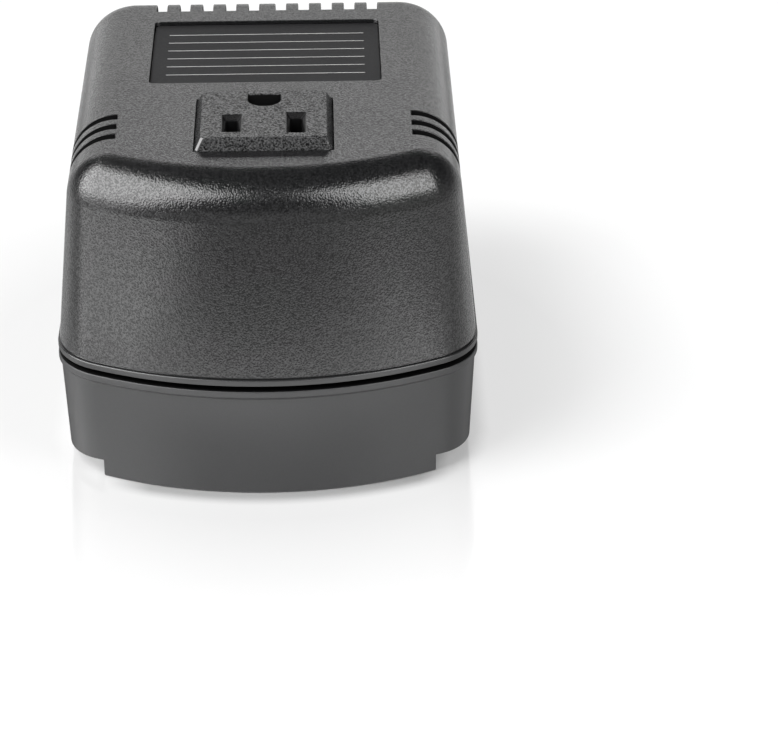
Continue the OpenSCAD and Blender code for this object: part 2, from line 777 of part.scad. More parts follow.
module bobbin() {
    flange_x = coil_half_x + flange_lap;
    flange_y = coil_half_y + flange_lap;
    color(nylon_white) translate([0, core_cy]) difference() {
        union() {
            span([-tube_x, -tube_y, bobbin_z0], [tube_x, tube_y, bobbin_z1]);
            for (z = [bobbin_z0, bobbin_mid - bobbin_t / 2, bobbin_z1 - bobbin_t])
                span([-flange_x, -flange_y, z], [flange_x, flange_y, z + bobbin_t]);
        }
        span([bobbin_t - tube_x, bobbin_t - tube_y, bobbin_z0 - past],
             [tube_x - bobbin_t, tube_y - bobbin_t, bobbin_z1 + past]);
    }
}

// Ring of rectangular plan round the bobbin's tube
module coil_ring(half_x, half_y, in_x, in_y, r) {
    difference() {
        round_block([2 * half_x, 2 * half_y, winding_h], r);
        span([-in_x, -in_y, -past], [in_x, in_y, winding_h + past]);
    }
}

module winding(i) {
    color(copper_red) translate([0, core_cy, winding_zs[i]])
        coil_ring(coil_half_x - tape_t, coil_half_y - tape_t, tube_x, tube_y, coil_corner);
}

module primary_winding() {
    winding(0);
}

module secondary_winding() {
    winding(1);
}

module winding_tape() {
    color(tape_yellow) for (z = winding_zs) translate([0, core_cy, z]) difference() {
        round_block([2 * coil_half_x, 2 * coil_half_y, winding_h], coil_corner + tape_t);
        translate([0, 0, -past])
            round_block([2 * (coil_half_x - tape_t), 2 * (coil_half_y - tape_t), winding_h + 2 * past],
                        coil_corner);
    }
}

// Angle bracket with two feet, its upright against the core at y = 0 and its feet towards -Y
module bracket() {
    color(zinc_grey) difference() {
        union() {
            span([-core_half, -bracket_t, core_seat], [core_half, 0, core_seat + core_unit]);
            for (side = [-1, 1])
                translate([side * foot_gap / 2, -(foot_l + bracket_t) / 2, core_seat + bracket_t / 2])
                    cube([foot_w, foot_l + bracket_t, bracket_t], center = true);
        }
        for (side = [-1, 1]) {
            translate([side * foot_gap / 2, -bracket_t - foot_hole, core_seat - past])
                cylinder(r = foot_screw_r + hole_fit, h = bracket_t + 2 * past);
            translate([side * bolt_x, past, bolt_zs[0]]) rotate([90, 0, 0])
                cylinder(r = bolt_r + bolt_fit, h = bracket_t + 2 * past);
        }
    }
}

module front_bracket() {
    translate([0, core_y0]) bracket();
}

module rear_bracket() {
    translate([0, core_y1]) mirror([0, 1, 0]) bracket();
}

// Hexagon with the given distance across its flats, extruded
module hexagon(af, h) {
    cylinder(r = af / sqrt(3), h = h, $fn = 6);
}

module core_bolts() {
    color(zinc_grey) at_bolts() translate([0, core_y0 - bracket_t]) rotate([-90, 0, 0]) {
        translate([0, 0, -bolt_head_h]) hexagon(bolt_af, bolt_head_h);
        cylinder(r = bolt_r, h = stack + 2 * bracket_t + bolt_head_h + bolt_end);
    }
}

module core_nuts() {
    color(zinc_grey) at_bolts() translate([0, core_y1 + bracket_t]) rotate([-90, 0, 0]) difference() {
        hexagon(bolt_af, bolt_head_h);
        translate([0, 0, -past]) cylinder(r = bolt_r + thread_fit, h = bolt_head_h + 2 * past);
    }
}

module core_washers() {
    color(zinc_grey) for (side = [-1, 1], y = [core_y0 - bracket_t, core_y1])
        translate([side * bolt_x, y, bolt_zs[1]]) rotate([-90, 0, 0]) difference() {
            cylinder(r = washer_share * bolt_af, h = bracket_t);
            translate([0, 0, -past]) cylinder(r = bolt_r + bolt_fit, h = bracket_t + 2 * past);
        }
}

module bracket_screws() {
    color(zinc_grey) at_feet() translate([0, 0, core_seat + bracket_t]) mirror([0, 0, 1])
        screw_up(foot_screw_r, bracket_t + core_seat - 2 * tip_left, foot_head_r, head_share * foot_head_r);
}

// Places its children at the three poles of the terminal block
module at_poles() {
    for (i = [-1:1]) translate([i * pole_pitch, block_cy, pole_z]) children();
}

module terminal_block() {
    color(nylon_white) difference() {
        translate([0, block_cy, block_seat]) round_block([block_w, block_l, block_h], block_round);
        at_poles() {
            translate([0, block_l / 2 + past]) rotate([90, 0, 0])
                cylinder(r = sleeve_r + thread_fit, h = block_l + 2 * past);
            for (dy = [-clamp_dy, clamp_dy]) translate([0, dy])
                cylinder(r = clamp_screw_r + hole_fit, h = block_h);
        }
        for (side = [-1, 1]) translate([side * pole_pitch / 2, block_cy, block_seat - past])
            cylinder(r = block_screw_r + hole_fit, h = block_h + 2 * past);
    }
}

module terminal_sleeves() {
    color(brass_yellow) at_poles() difference() {
        translate([0, sleeve_l / 2]) rotate([90, 0, 0]) cylinder(r = sleeve_r, h = sleeve_l);
        translate([0, sleeve_l / 2 + past]) rotate([90, 0, 0])
            cylinder(r = sleeve_bore_r, h = sleeve_l + 2 * past);
        for (dy = [-clamp_dy, clamp_dy]) translate([0, dy])
            cylinder(r = clamp_screw_r + thread_fit, h = block_h);
    }
}

module terminal_screws() {
    from = wire_r + lie_gap;
    length = block_h / 2 - from - clamp_slot[1];
    color(zinc_grey) at_poles() for (dy = [-clamp_dy, clamp_dy]) translate([0, dy, from]) difference() {
        cylinder(r = clamp_screw_r, h = length);
        translate([0, 0, length]) cube([3 * clamp_screw_r, clamp_slot[1], 2 * clamp_slot[0]], center = true);
    }
}

module block_screws() {
    color(zinc_grey) for (side = [-1, 1])
        translate([side * pole_pitch / 2, block_cy, block_top]) mirror([0, 0, 1])
            screw_up(block_screw_r, block_top - floor_t - tip_left, block_head_r, head_share * block_head_r);
}

module thermal_fuse() {
    color(zinc_grey) translate([0, fuse_y, fuse_z]) rotate([0, 90, 0]) {
        cylinder(r = fuse_r, h = fuse_l, center = true);
        cylinder(r = fuse_lead_r, h = fuse_l + 2 * fuse_lead, center = true);
        translate([0, 0, fuse_l / 2 + fuse_lead - fuse_lead_r]) rotate([-90, 0, 0])
            cylinder(r = fuse_lead_r, h = coil_y0 - fuse_y);
    }
}

function unit(v) = v / norm(v);

// Point of the smooth curve through four points, at a share of the middle stretch
function blend(a, b, c, d, t) =
    0.5 * (2 * b + (c - a) * t + (2 * a - 5 * b + 4 * c - d) * t * t + (3 * b - 3 * c + d - a) * t * t * t);

// Smooth curve through a list of points
function route(p, steps) = concat(
    [for (i = [0:len(p) - 2], k = [0:steps - 1])
        blend(p[max(i - 1, 0)], p[i], p[i + 1], p[min(i + 2, len(p) - 1)], k / steps)],
    [p[len(p) - 1]]);

// Side vectors carried along a curve without twist
function carried(tangents, side, i = 0) = i == len(tangents) ? [] :
    let (s = unit(side - tangents[i] * (side * tangents[i]))) concat([s], carried(tangents, s, i + 1));

// Round tube along a smooth curve through the points
module wire(points, r = wire_r, sides = 8, steps = 4) {
    p = route(points, steps);
    n = len(p);
    last = len(points) - 1;
    tangents = [
        unit(points[1] - points[0]),
        for (i = [1:n - 2]) unit(p[i + 1] - p[i - 1]),
        unit(points[last] - points[last - 1])];
    normals = carried(tangents, abs(tangents[0][0]) < 0.9 ? [1, 0, 0] : [0, 0, 1]);
    rings = [for (i = [0:n - 1], k = [0:sides - 1])
        let (a = 360 * k / sides)
        p[i] + r * (cos(a) * normals[i] + sin(a) * cross(tangents[i], normals[i]))];
    walls = [for (i = [0:n - 2], k = [0:sides - 1])
        let (a = i * sides + k, b = i * sides + (k + 1) % sides)
        each [[a, a + sides, b], [b, a + sides, b + sides]]];
    caps = [[for (k = [0:sides - 1]) k], [for (k = [sides - 1:-1:0]) (n - 1) * sides + k]];
    polyhedron(rings, concat(walls, caps));
}

// Where the wires start and end
pole_out = [0, block_cy + sleeve_back, pole_z];
tail_z = pocket_z - carrier_floor - tail_l;
lead_z = winding_zs[1] + winding_h / 3;

module primary_line_wire() {
    start = pole_out - [pole_pitch, 0, 0];
    end = [-fuse_l / 2 - fuse_lead, fuse_y, fuse_z];
    color("saddlebrown") wire([
        start, start + [0, wire_run, 0], start + [0, 2 * wire_run, 0],
        [start[0] - wire_side, (block_cy + end[1]) / 2 + wire_side, (pole_z + end[2]) / 2],
        end - [2 * wire_end, wire_end, wire_end / 2], end - [wire_end, 0, 0], end]);
}

module primary_neutral_wire() {
    start = pole_out + [pole_pitch, 0, 0];
    end = [pole_pitch + wire_end, coil_y0, fuse_z];
    color("royalblue") wire([
        start, start + [0, wire_run, 0], start + [0, 2 * wire_run, 0],
        [start[0] + wire_side / 2, (block_cy + end[1]) / 2 + wire_side, (pole_z + end[2]) / 2],
        end - [0, 2 * wire_end, 0], end - [0, wire_end, 0], end]);
}

// Wire from the upper winding to the tail of a blade contact
module output_wire(side) {
    x = side * blade_gap / 2;
    wire([
        [x, coil_y0, lead_z], [x, coil_y0 - wire_end, lead_z],
        [x, coil_y0 - wire_run, lead_z - wire_r], [x, blade_y + wire_run, lead_z - 2 * wire_r],
        [x, blade_y + wire_r, lead_z], [x, blade_y, tail_z - wire_tail], [x, blade_y, tail_z]]);
}

module secondary_line_wire() {
    color("#2a2a2c") output_wire(-1);
}

module secondary_neutral_wire() {
    color("whitesmoke") output_wire(1);
}

module earth_wire() {
    color("yellowgreen") wire([
        pole_out, pole_out + [0, wire_run, 0], pole_out + [0, 2 * wire_run, 0],
        [0, earth_y - wire_tail, (pole_z + tail_z) / 2 - wire_side],
        [0, earth_y, tail_z - 4 * wire_tail], [0, earth_y, tail_z - wire_tail], [0, earth_y, tail_z]]);
}

base_shell();
top_cover();
case_screws();
rating_plate();
cord_gland();
socket_face();
contact_carrier();
line_contact();
neutral_contact();
earth_contact();
carrier_screws();
core_e_stack();
core_i_stack();
bobbin();
primary_winding();
secondary_winding();
winding_tape();
front_bracket();
rear_bracket();
core_bolts();
core_nuts();
core_washers();
bracket_screws();
terminal_block();
terminal_sleeves();
terminal_screws();
block_screws();
thermal_fuse();
primary_line_wire();
primary_neutral_wire();
secondary_line_wire();
secondary_neutral_wire();
earth_wire();
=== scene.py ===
"""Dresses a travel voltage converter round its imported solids.

The case, the socket, the label, the gland and the case screws are built here as finer meshes that stand
for their solids. The works inside keep their solids and only get finishes. Sizes are in millimetres until
a mesh is made.
"""

from __future__ import annotations

import logging
import math
from dataclasses import dataclass, field
from enum import Enum
from typing import Iterable, Sequence

import bmesh
import bpy
from mathutils import Matrix, Quaternion, Vector

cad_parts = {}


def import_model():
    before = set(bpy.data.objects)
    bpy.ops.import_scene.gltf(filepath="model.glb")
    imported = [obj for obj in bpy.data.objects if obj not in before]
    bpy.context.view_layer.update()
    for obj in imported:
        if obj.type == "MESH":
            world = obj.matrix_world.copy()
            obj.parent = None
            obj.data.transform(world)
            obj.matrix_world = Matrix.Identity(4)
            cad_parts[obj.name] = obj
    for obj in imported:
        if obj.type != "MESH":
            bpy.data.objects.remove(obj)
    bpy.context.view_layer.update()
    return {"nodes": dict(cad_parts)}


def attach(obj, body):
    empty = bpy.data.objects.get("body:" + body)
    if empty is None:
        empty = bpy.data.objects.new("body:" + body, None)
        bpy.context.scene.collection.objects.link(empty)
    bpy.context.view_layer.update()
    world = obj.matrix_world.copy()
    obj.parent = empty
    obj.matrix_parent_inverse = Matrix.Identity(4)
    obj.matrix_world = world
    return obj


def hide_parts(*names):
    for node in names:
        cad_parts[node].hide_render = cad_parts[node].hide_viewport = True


LOG = logging.getLogger("converter")
MM = 0.001
ROOT = "root"
# Points closer than this are one point
WELD = 0.002
# How far a cutting solid reaches past a face
PAST = 1.0
UNIT = (0.0, 1.0)
WHITE = (1.0, 1.0, 1.0, 1.0)

Point = tuple[float, float]
Colour = tuple[float, float, float]
Triple = tuple[float, float, float]


class Operation(Enum):
    """Ways to combine two closed meshes."""

    ADD = "UNION"
    CUT = "DIFFERENCE"


class Axis(Enum):
    """Directions that a round solid can lie along."""

    UP = Matrix.Identity(3)
    FORWARD = Matrix.Rotation(math.radians(90), 3, "X")


def mm(x: float, y: float, z: float) -> Vector:
    """Point given in millimetres, in metres."""
    return Vector((x, y, z)) * MM


def arc(centre: Point, radius: float, start: float, end: float, steps: int) -> list[Point]:
    """Points along an arc.

    Args:
        centre: Centre of the arc.
        radius: Its radius.
        start: First angle, in degrees.
        end: Last angle, in degrees.
        steps: Number of chords.

    Returns:
        The points, both ends included.
    """
    angles = [math.radians(start + (end - start) * i / steps) for i in range(steps + 1)]
    return [(centre[0] + radius * math.cos(a), centre[1] + radius * math.sin(a)) for a in angles]


def rounded_rectangle(size: Point, radius: float, centre: Point, steps: int = 8) -> list[Point]:
    """Outline of a rectangle with round corners, anticlockwise.

    Args:
        size: Sizes along X and Y.
        radius: Radius of the corners.
        centre: Middle of the rectangle.
        steps: Chords at each corner.

    Returns:
        The outline's points.
    """
    dx, dy = size[0] / 2 - radius, size[1] / 2 - radius
    corners = [(dx, dy, 0), (-dx, dy, 90), (-dx, -dy, 180), (dx, -dy, 270)]
    points: list[Point] = []
    for x, y, turn in corners:
        points += arc((centre[0] + x, centre[1] + y), radius, turn, turn + 90, steps)
    return points


class Maker:
    """Collects closed solids in one mesh."""

    def __init__(self) -> None:
        """Starts with an empty mesh."""
        self.bm = bmesh.new()

    @classmethod
    def taken_from(cls, thing: bpy.types.Object) -> Maker:
        """Takes over an object's mesh as a tool, and removes the object.

        Args:
            thing: Object that is used up.

        Returns:
            The tool.
        """
        maker = cls()
        maker.bm.from_mesh(thing.data)
        bpy.data.objects.remove(thing)
        return maker

    def loft(self, rings: Sequence[Sequence[Vector]], hoop: bool = False) -> None:
        """Adds a closed skin through rings of equal length.

        Args:
            rings: Rings of points in metres, each anticlockwise about the way that they follow each other.
            hoop: Whether the last ring joins the first. Otherwise flat ends close the skin.
        """
        rows = [[self.bm.verts.new(p) for p in ring] for ring in rings]
        count = len(rows[0])
        for low, high in zip(rows, rows[1:] + rows[:1] if hoop else rows[1:]):
            for i in range(count):
                j = (i + 1) % count
                self.bm.faces.new((low[i], low[j], high[j], high[i]))
        if not hoop:
            self.bm.faces.new(list(reversed(rows[0])))
            self.bm.faces.new(rows[-1])

    def prism(self, outline: Sequence[Point], low: float, high: float) -> None:
        """Adds an upright prism over an outline, between two heights."""
        self.loft([[mm(x, y, z) for x, y in outline] for z in (low, high)])

    def box(self, low: Sequence[float], high: Sequence[float]) -> None:
        """Adds a box between two corners."""
        outline = [(low[0], low[1]), (high[0], low[1]), (high[0], high[1]), (low[0], high[1])]
        self.prism(outline, low[2], high[2])

    def turned(
        self,
        profile: Sequence[Point],
        at: Triple,
        axis: Axis = Axis.UP,
        sides: int = 48,
        hoop: bool = False,
    ) -> None:
        """Adds a turned solid.

        Args:
            profile: Radius and height of each ring, from the first end to the last.
            at: Where the profile's zero height lies.
            axis: Direction of the axis.
            sides: Number of sides.
            hoop: Whether the profile closes on itself and leaves the middle open.
        """
        place = mm(*at)
        angles = [2 * math.pi * i / sides for i in range(sides)]
        rings = []
        for radius, height in profile:
            ring = [mm(radius * math.cos(a), radius * math.sin(a), height) for a in angles]
            rings.append([place + axis.value @ p for p in ring])
        self.loft(rings, hoop)

    def drum(self, radius: float, length: float, at: Triple, axis: Axis = Axis.UP) -> None:
        """Adds a plain round bar."""
        self.turned([(radius, 0.0), (radius, length)], at, axis)

    def piece(self, name: str) -> bpy.types.Object:
        """Turns the mesh into an object at the origin.

        Args:
            name: Name of the object.

        Returns:
            The new object.
        """
        mesh = bpy.data.meshes.new(name)
        self.bm.to_mesh(mesh)
        self.bm.free()
        thing = bpy.data.objects.new(name, mesh)
        bpy.context.scene.collection.objects.link(thing)
        return thing


def keep_result(thing: bpy.types.Object) -> None:
    """Replaces an object's mesh by what its modifiers make of it, and removes them.

    Args:
        thing: Object that is changed.
    """
    graph = bpy.context.evaluated_depsgraph_get()
    source = thing.evaluated_get(graph)
    made = bpy.data.meshes.new_from_object(source, preserve_all_data_layers=True, depsgraph=graph)
    thing.modifiers.clear()
    old = thing.data
    thing.data = made
    bpy.data.meshes.remove(old)


def combine(thing: bpy.types.Object, tool: Maker, operation: Operation, crossing: bool = False) -> None:
    """Adds solids to an object, or cuts them out of it.

    Args:
        thing: Object that is changed.
        tool: Solids to add or to cut.
        operation: Which of the two.
        crossing: Whether the tool's solids run through each other.
    """
    other = tool.piece("tool")
    modifier = thing.modifiers.new("combine", "BOOLEAN")
    modifier.object = other
    modifier.operation = operation.value
    modifier.solver = "EXACT"
    modifier.use_self = crossing
    keep_result(thing)
    mesh = other.data
    bpy.data.objects.remove(other)
    bpy.data.meshes.remove(mesh)


def soften(thing: bpy.types.Object, width: float, angle: float = 32.0) -> None:
    """Rounds an object's sharp edges and evens out its shading.

    Args:
        thing: Object that is changed.
        width: Width of the rounding, in millimetres.
        angle: Least angle of an edge that is rounded, in degrees.
    """
    bm = bmesh.new()
    bm.from_mesh(thing.data)
    bmesh.ops.remove_doubles(bm, verts=bm.verts, dist=WELD * MM)
    bmesh.ops.dissolve_degenerate(bm, edges=bm.edges, dist=WELD * MM)
    bm.to_mesh(thing.data)
    bm.free()
    thing.data.shade_smooth()
    bevel = thing.modifiers.new("edges", "BEVEL")
    bevel.width = width * MM
    bevel.segments = 2
    bevel.limit_method = "ANGLE"
    bevel.angle_limit = math.radians(angle)
    bevel.use_clamp_overlap = False
    thing.modifiers.new("shading", "WEIGHTED_NORMAL").keep_sharp = False
    keep_result(thing)


class Tree:
    """Adds nodes and links to one node tree."""

    def __init__(self, tree: bpy.types.NodeTree) -> None:
        """Takes the tree that is built."""
        self.tree = tree

    def add(
        self, kind: str, values: dict[str | int, object] | None = None, **settings: object
    ) -> bpy.types.Node:
        """Adds a node.

        Args:
            kind: Blender's name of the node type.
            values: Inputs by name or number, each a plain value or an output that is linked.
            settings: Properties of the node itself.

        Returns:
            The new node.
        """
        node = self.tree.nodes.new(kind)
        for name, value in settings.items():
            setattr(node, name, value)
        for name, value in (values or {}).items():
            self.feed(node.inputs[name], value)
        return node

    def feed(self, socket: bpy.types.NodeSocket, value: object) -> None:
        """Links an output to an input, or sets its value.

        Args:
            socket: The input.
            value: An output or a plain value.
        """
        if isinstance(value, bpy.types.NodeSocket):
            self.tree.links.new(value, socket)
        else:
            socket.default_value = value

    def math(self, operation: str, *values: object) -> bpy.types.NodeSocket:
        """Output of a Math node over values or outputs."""
        return self.add("ShaderNodeMath", dict(enumerate(values)), operation=operation).outputs[0]

    def scaled(self, value: object, old: Sequence[object], new: Sequence[object]) -> bpy.types.NodeSocket:
        """Output of a Map Range node from one range to another, clamped."""
        values = {0: value, 1: old[0], 2: old[1], 3: new[0], 4: new[1]}
        return self.add("ShaderNodeMapRange", values).outputs[0]

    def mixed(self, factor: object, first: object, second: object) -> bpy.types.NodeSocket:
        """Output of a colour Mix node."""
        return self.add("ShaderNodeMix", {0: factor, 6: first, 7: second}, data_type="RGBA").outputs[2]

    def noise(self, vector: object, scale: object, detail: float) -> bpy.types.NodeSocket:
        """Value of a Noise Texture over a vector."""
        values = {"Vector": vector, "Scale": scale, "Detail": detail}
        return self.add("ShaderNodeTexNoise", values).outputs[0]

    def bump(self, height: object, depth: float) -> bpy.types.NodeSocket:
        """Normal of a surface with a relief, whose depth is in millimetres."""
        values = {"Height": height, "Strength": 1.0, "Distance": depth * MM}
        return self.add("ShaderNodeBump", values).outputs[0]

    def upward(self) -> bpy.types.NodeSocket:
        """How far the surface faces up."""
        normal = self.add("ShaderNodeNewGeometry").outputs["Normal"]
        return self.add("ShaderNodeSeparateXYZ", {0: normal}).outputs["Z"]

    def group(self, tree: bpy.types.NodeTree, values: dict[str, object]) -> bpy.types.bpy_prop_collection:
        """Outputs of a placed node group."""
        return self.add("ShaderNodeGroup", values, node_tree=tree).outputs


class GroupTree(Tree):
    """Node group with named inputs and outputs."""

    def __init__(self, name: str, kind: str, inputs: dict[str, str], outputs: dict[str, str]) -> None:
        """Makes the group.

        Args:
            name: Name of the group.
            kind: Blender's name of the tree type.
            inputs: Socket types by name.
            outputs: Socket types by name.
        """
        super().__init__(bpy.data.node_groups.new(name, kind))
        for side, sockets in (("INPUT", inputs), ("OUTPUT", outputs)):
            for label, socket in sockets.items():
                self.tree.interface.new_socket(label, in_out=side, socket_type=f"NodeSocket{socket}")
        self.source = self.tree.nodes.new("NodeGroupInput").outputs
        self.sink = self.tree.nodes.new("NodeGroupOutput").inputs


class ShapeTree(GroupTree):
    """Geometry Nodes group that takes a shape and a finish, and puts out one shape."""

    def __init__(self, name: str, inputs: dict[str, str]) -> None:
        """Makes the group, with its own inputs between the shape and the finish."""
        shape = {"Geometry": "Geometry"}
        super().__init__(name, "GeometryNodeTree", shape | inputs | {"Finish": "Material"}, shape)

    def row(self, count: object, first: object, step: object) -> bpy.types.NodeSocket:
        """Points along a straight row."""
        values = {"Count": count, "Start Location": first, "Offset": step}
        return self.add("GeometryNodeMeshLine", values, mode="OFFSET").outputs[0]

    def copies(self, points: bpy.types.NodeSocket, shape: bpy.types.NodeSocket) -> bpy.types.NodeSocket:
        """Copies of a shape on points, as plain geometry.

        Args:
            points: Where the copies go.
            shape: What is copied.

        Returns:
            The copies.
        """
        values = {"Points": points, "Instance": shape}
        spread = self.add("GeometryNodeInstanceOnPoints", values).outputs[0]
        return self.add("GeometryNodeRealizeInstances", {0: spread}).outputs[0]

    def finished(self, shape: bpy.types.NodeSocket) -> bpy.types.NodeTree:
        """Gives the shape its finish and puts it out.

        Args:
            shape: The shape that the group makes.

        Returns:
            The whole tree.
        """
        values = {"Geometry": shape, "Material": self.source["Finish"]}
        self.feed(self.sink["Geometry"], self.add("GeometryNodeSetMaterial", values).outputs[0])
        return self.tree


class Repeats:
    """Geometry Nodes trees for what repeats on the object."""

    def __init__(self) -> None:
        """Builds each tree once."""
        self.slots = self.slot_tree()
        self.grid = self.grid_tree()
        self.rows = self.row_tree()

    @staticmethod
    def slot_tree() -> bpy.types.NodeTree:
        """Tree that cuts a row of slots, and its mirror image, out of a shell.

        Returns:
            The tree.
        """
        inputs = {"Count": "Int", "First": "Vector", "Step": "Vector", "Size": "Vector"}
        tree = ShapeTree("vent_slots", inputs)
        take = tree.source
        slot = tree.add("GeometryNodeMeshCube", {"Size": take["Size"]}).outputs[0]
        join = tree.add("GeometryNodeJoinGeometry")
        for side in (1.0, -1.0):
            ends = []
            for name in ("First", "Step"):
                values = {0: take[name], 1: (side, 1.0, 1.0)}
                ends.append(tree.add("ShaderNodeVectorMath", values, operation="MULTIPLY").outputs[0])
            tree.feed(join.inputs[0], tree.row(take["Count"], *ends))
        values = {"Mesh 1": take["Geometry"], "Mesh 2": tree.copies(join.outputs[0], slot)}
        cut = tree.add("GeometryNodeMeshBoolean", values, operation="DIFFERENCE", solver="EXACT")
        return tree.finished(cut.outputs[0])

    @staticmethod
    def grid_tree() -> bpy.types.NodeTree:
        """Tree that sets the piece on the four corners of a rectangle.

        Returns:
            The tree.
        """
        tree = ShapeTree("corner_set", {"Width": "Float", "Length": "Float", "Centre": "Vector"})
        take = tree.source
        values = {"Size X": take["Width"], "Size Y": take["Length"], "Vertices X": 2, "Vertices Y": 2}
        grid = tree.add("GeometryNodeMeshGrid", values).outputs[0]
        moved = tree.add("GeometryNodeSetPosition", {"Geometry": grid, "Offset": take["Centre"]}).outputs[0]
        return tree.finished(tree.copies(moved, take["Geometry"]))

    @staticmethod
    def row_tree() -> bpy.types.NodeTree:
        """Tree that repeats the piece along a straight row.

        Returns:
            The tree.
        """
        tree = ShapeTree("straight_row", {"Count": "Int", "First": "Vector", "Step": "Vector"})
        take = tree.source
        line = tree.row(take["Count"], take["First"], take["Step"])
        return tree.finished(tree.copies(line, take["Geometry"]))

    @staticmethod
    def run(thing: bpy.types.Object, tree: bpy.types.NodeTree, values: dict[str, object]) -> None:
        """Runs a tree on an object and keeps the result as its plain mesh.

        Args:
            thing: Object whose mesh goes in.
            tree: Tree that is run.
            values: The tree's inputs by name.
        """
        modifier = thing.modifiers.new(tree.name, "NODES")
        modifier.node_group = tree
        for item in tree.interface.items_tree:
            if item.item_type == "SOCKET" and item.in_out == "INPUT" and item.name in values:
                modifier[item.identifier] = values[item.name]
        keep_result(thing)


class Effects:
    """Shader node groups that several finishes share."""

    FINE_SHARE = 0.8
    COARSE_SCALE = 0.42
    CLOUD_SCALE = 55.0
    EDGE_HIGHLIGHT_SCALE = 900.0
    DUST_SCALE = 1600.0
    SHARP = (0.52, 0.62)
    FLAT = (0.6, 1.0)

    def __init__(self) -> None:
        """Builds each group once."""
        self.grain = self.grain_group()
        self.edge_highlight = self.edge_highlight_group()
        self.dust = self.dust_group()

    def grain_group(self) -> bpy.types.NodeTree:
        """Fine moulded or rolled grain: its height, its shade and slow clouds.

        Returns:
            The group's tree.
        """
        inputs = {"Vector": "Vector", "Scale": "Float"}
        outputs = {"Height": "Float", "Shade": "Float", "Clouds": "Float"}
        tree = GroupTree("fine_grain", "ShaderNodeTree", inputs, outputs)
        vector, scale = tree.source["Vector"], tree.source["Scale"]
        fine = tree.noise(vector, scale, 0.6)
        coarse = tree.noise(vector, tree.math("MULTIPLY", scale, self.COARSE_SCALE), 1.0)
        parts = ((fine, self.FINE_SHARE), (coarse, 1 - self.FINE_SHARE))
        height = tree.math("ADD", *(tree.math("MULTIPLY", part, share) for part, share in parts))
        pitted = tree.add("ShaderNodeMapRange", {0: height}, interpolation_type="SMOOTHSTEP").outputs[0]
        tree.feed(tree.sink["Height"], pitted)
        tree.feed(tree.sink["Shade"], tree.scaled(height, (0.35, 0.65), UNIT))
        clouds = tree.noise(vector, self.CLOUD_SCALE, 3.0)
        tree.feed(tree.sink["Clouds"], tree.scaled(clouds, (0.3, 0.7), UNIT))
        return tree.tree

    def edge_highlight_group(self) -> bpy.types.NodeTree:
        """Broken mask along sharp outer edges, where the colour is lightened as a painted highlight.

        Returns:
            The group's tree.
        """
        inputs = {"Vector": "Vector", "Reach": "Float"}
        tree = GroupTree("painted_edge_highlight", "ShaderNodeTree", inputs, {"Mask": "Float"})
        sharp = tree.add("ShaderNodeNewGeometry").outputs["Pointiness"]
        edge = tree.scaled(sharp, self.SHARP, UNIT)
        patches = tree.noise(tree.source["Vector"], self.EDGE_HIGHLIGHT_SCALE, 3.0)
        worn = tree.math("MULTIPLY", edge, tree.scaled(patches, (0.35, 0.7), (0.25, 1.0)))
        tree.feed(tree.sink["Mask"], tree.math("MULTIPLY", worn, tree.source["Reach"]))
        return tree.tree

    def dust_group(self) -> bpy.types.NodeTree:
        """Thin dust that lies on what faces up.

        Returns:
            The group's tree.
        """
        inputs = {"Vector": "Vector", "Amount": "Float"}
        tree = GroupTree("settled_dust", "ShaderNodeTree", inputs, {"Mask": "Float"})
        lies = tree.scaled(tree.upward(), self.FLAT, UNIT)
        specks = tree.noise(tree.source["Vector"], self.DUST_SCALE, 4.0)
        settled = tree.math("MULTIPLY", lies, tree.scaled(specks, (0.5, 0.75), UNIT))
        tree.feed(tree.sink["Mask"], tree.math("MULTIPLY", settled, tree.source["Amount"]))
        return tree.tree


@dataclass(frozen=True)
class Finish:
    """Look of a surface. Each kind of finish paints in its own way."""

    name: str
    colour: Colour

    def shade(self, factor: float) -> tuple[float, ...]:
        """The colour made lighter or darker, with full cover."""
        return (*(part * factor for part in self.colour), 1.0)

    def paint(self, tree: Tree, effects: Effects, vector: bpy.types.NodeSocket) -> dict[str, object]:
        """What goes into the surface's shader.

        Args:
            tree: The material's tree.
            effects: Shared node groups.
            vector: Place on the object.

        Returns:
            Values or outputs by the name of the shader's input.
        """
        raise NotImplementedError

    def build(self, effects: Effects) -> bpy.types.Material:
        """Makes the material.

        Args:
            effects: Shared node groups.

        Returns:
            The new material.
        """
        material = bpy.data.materials.new(self.name)
        material.use_nodes = True
        tree = Tree(material.node_tree)
        shader = material.node_tree.nodes["Principled BSDF"]
        vector = tree.add("ShaderNodeTexCoord").outputs["Object"]
        for name, value in self.paint(tree, effects, vector).items():
            tree.feed(shader.inputs[name], value)
        return material


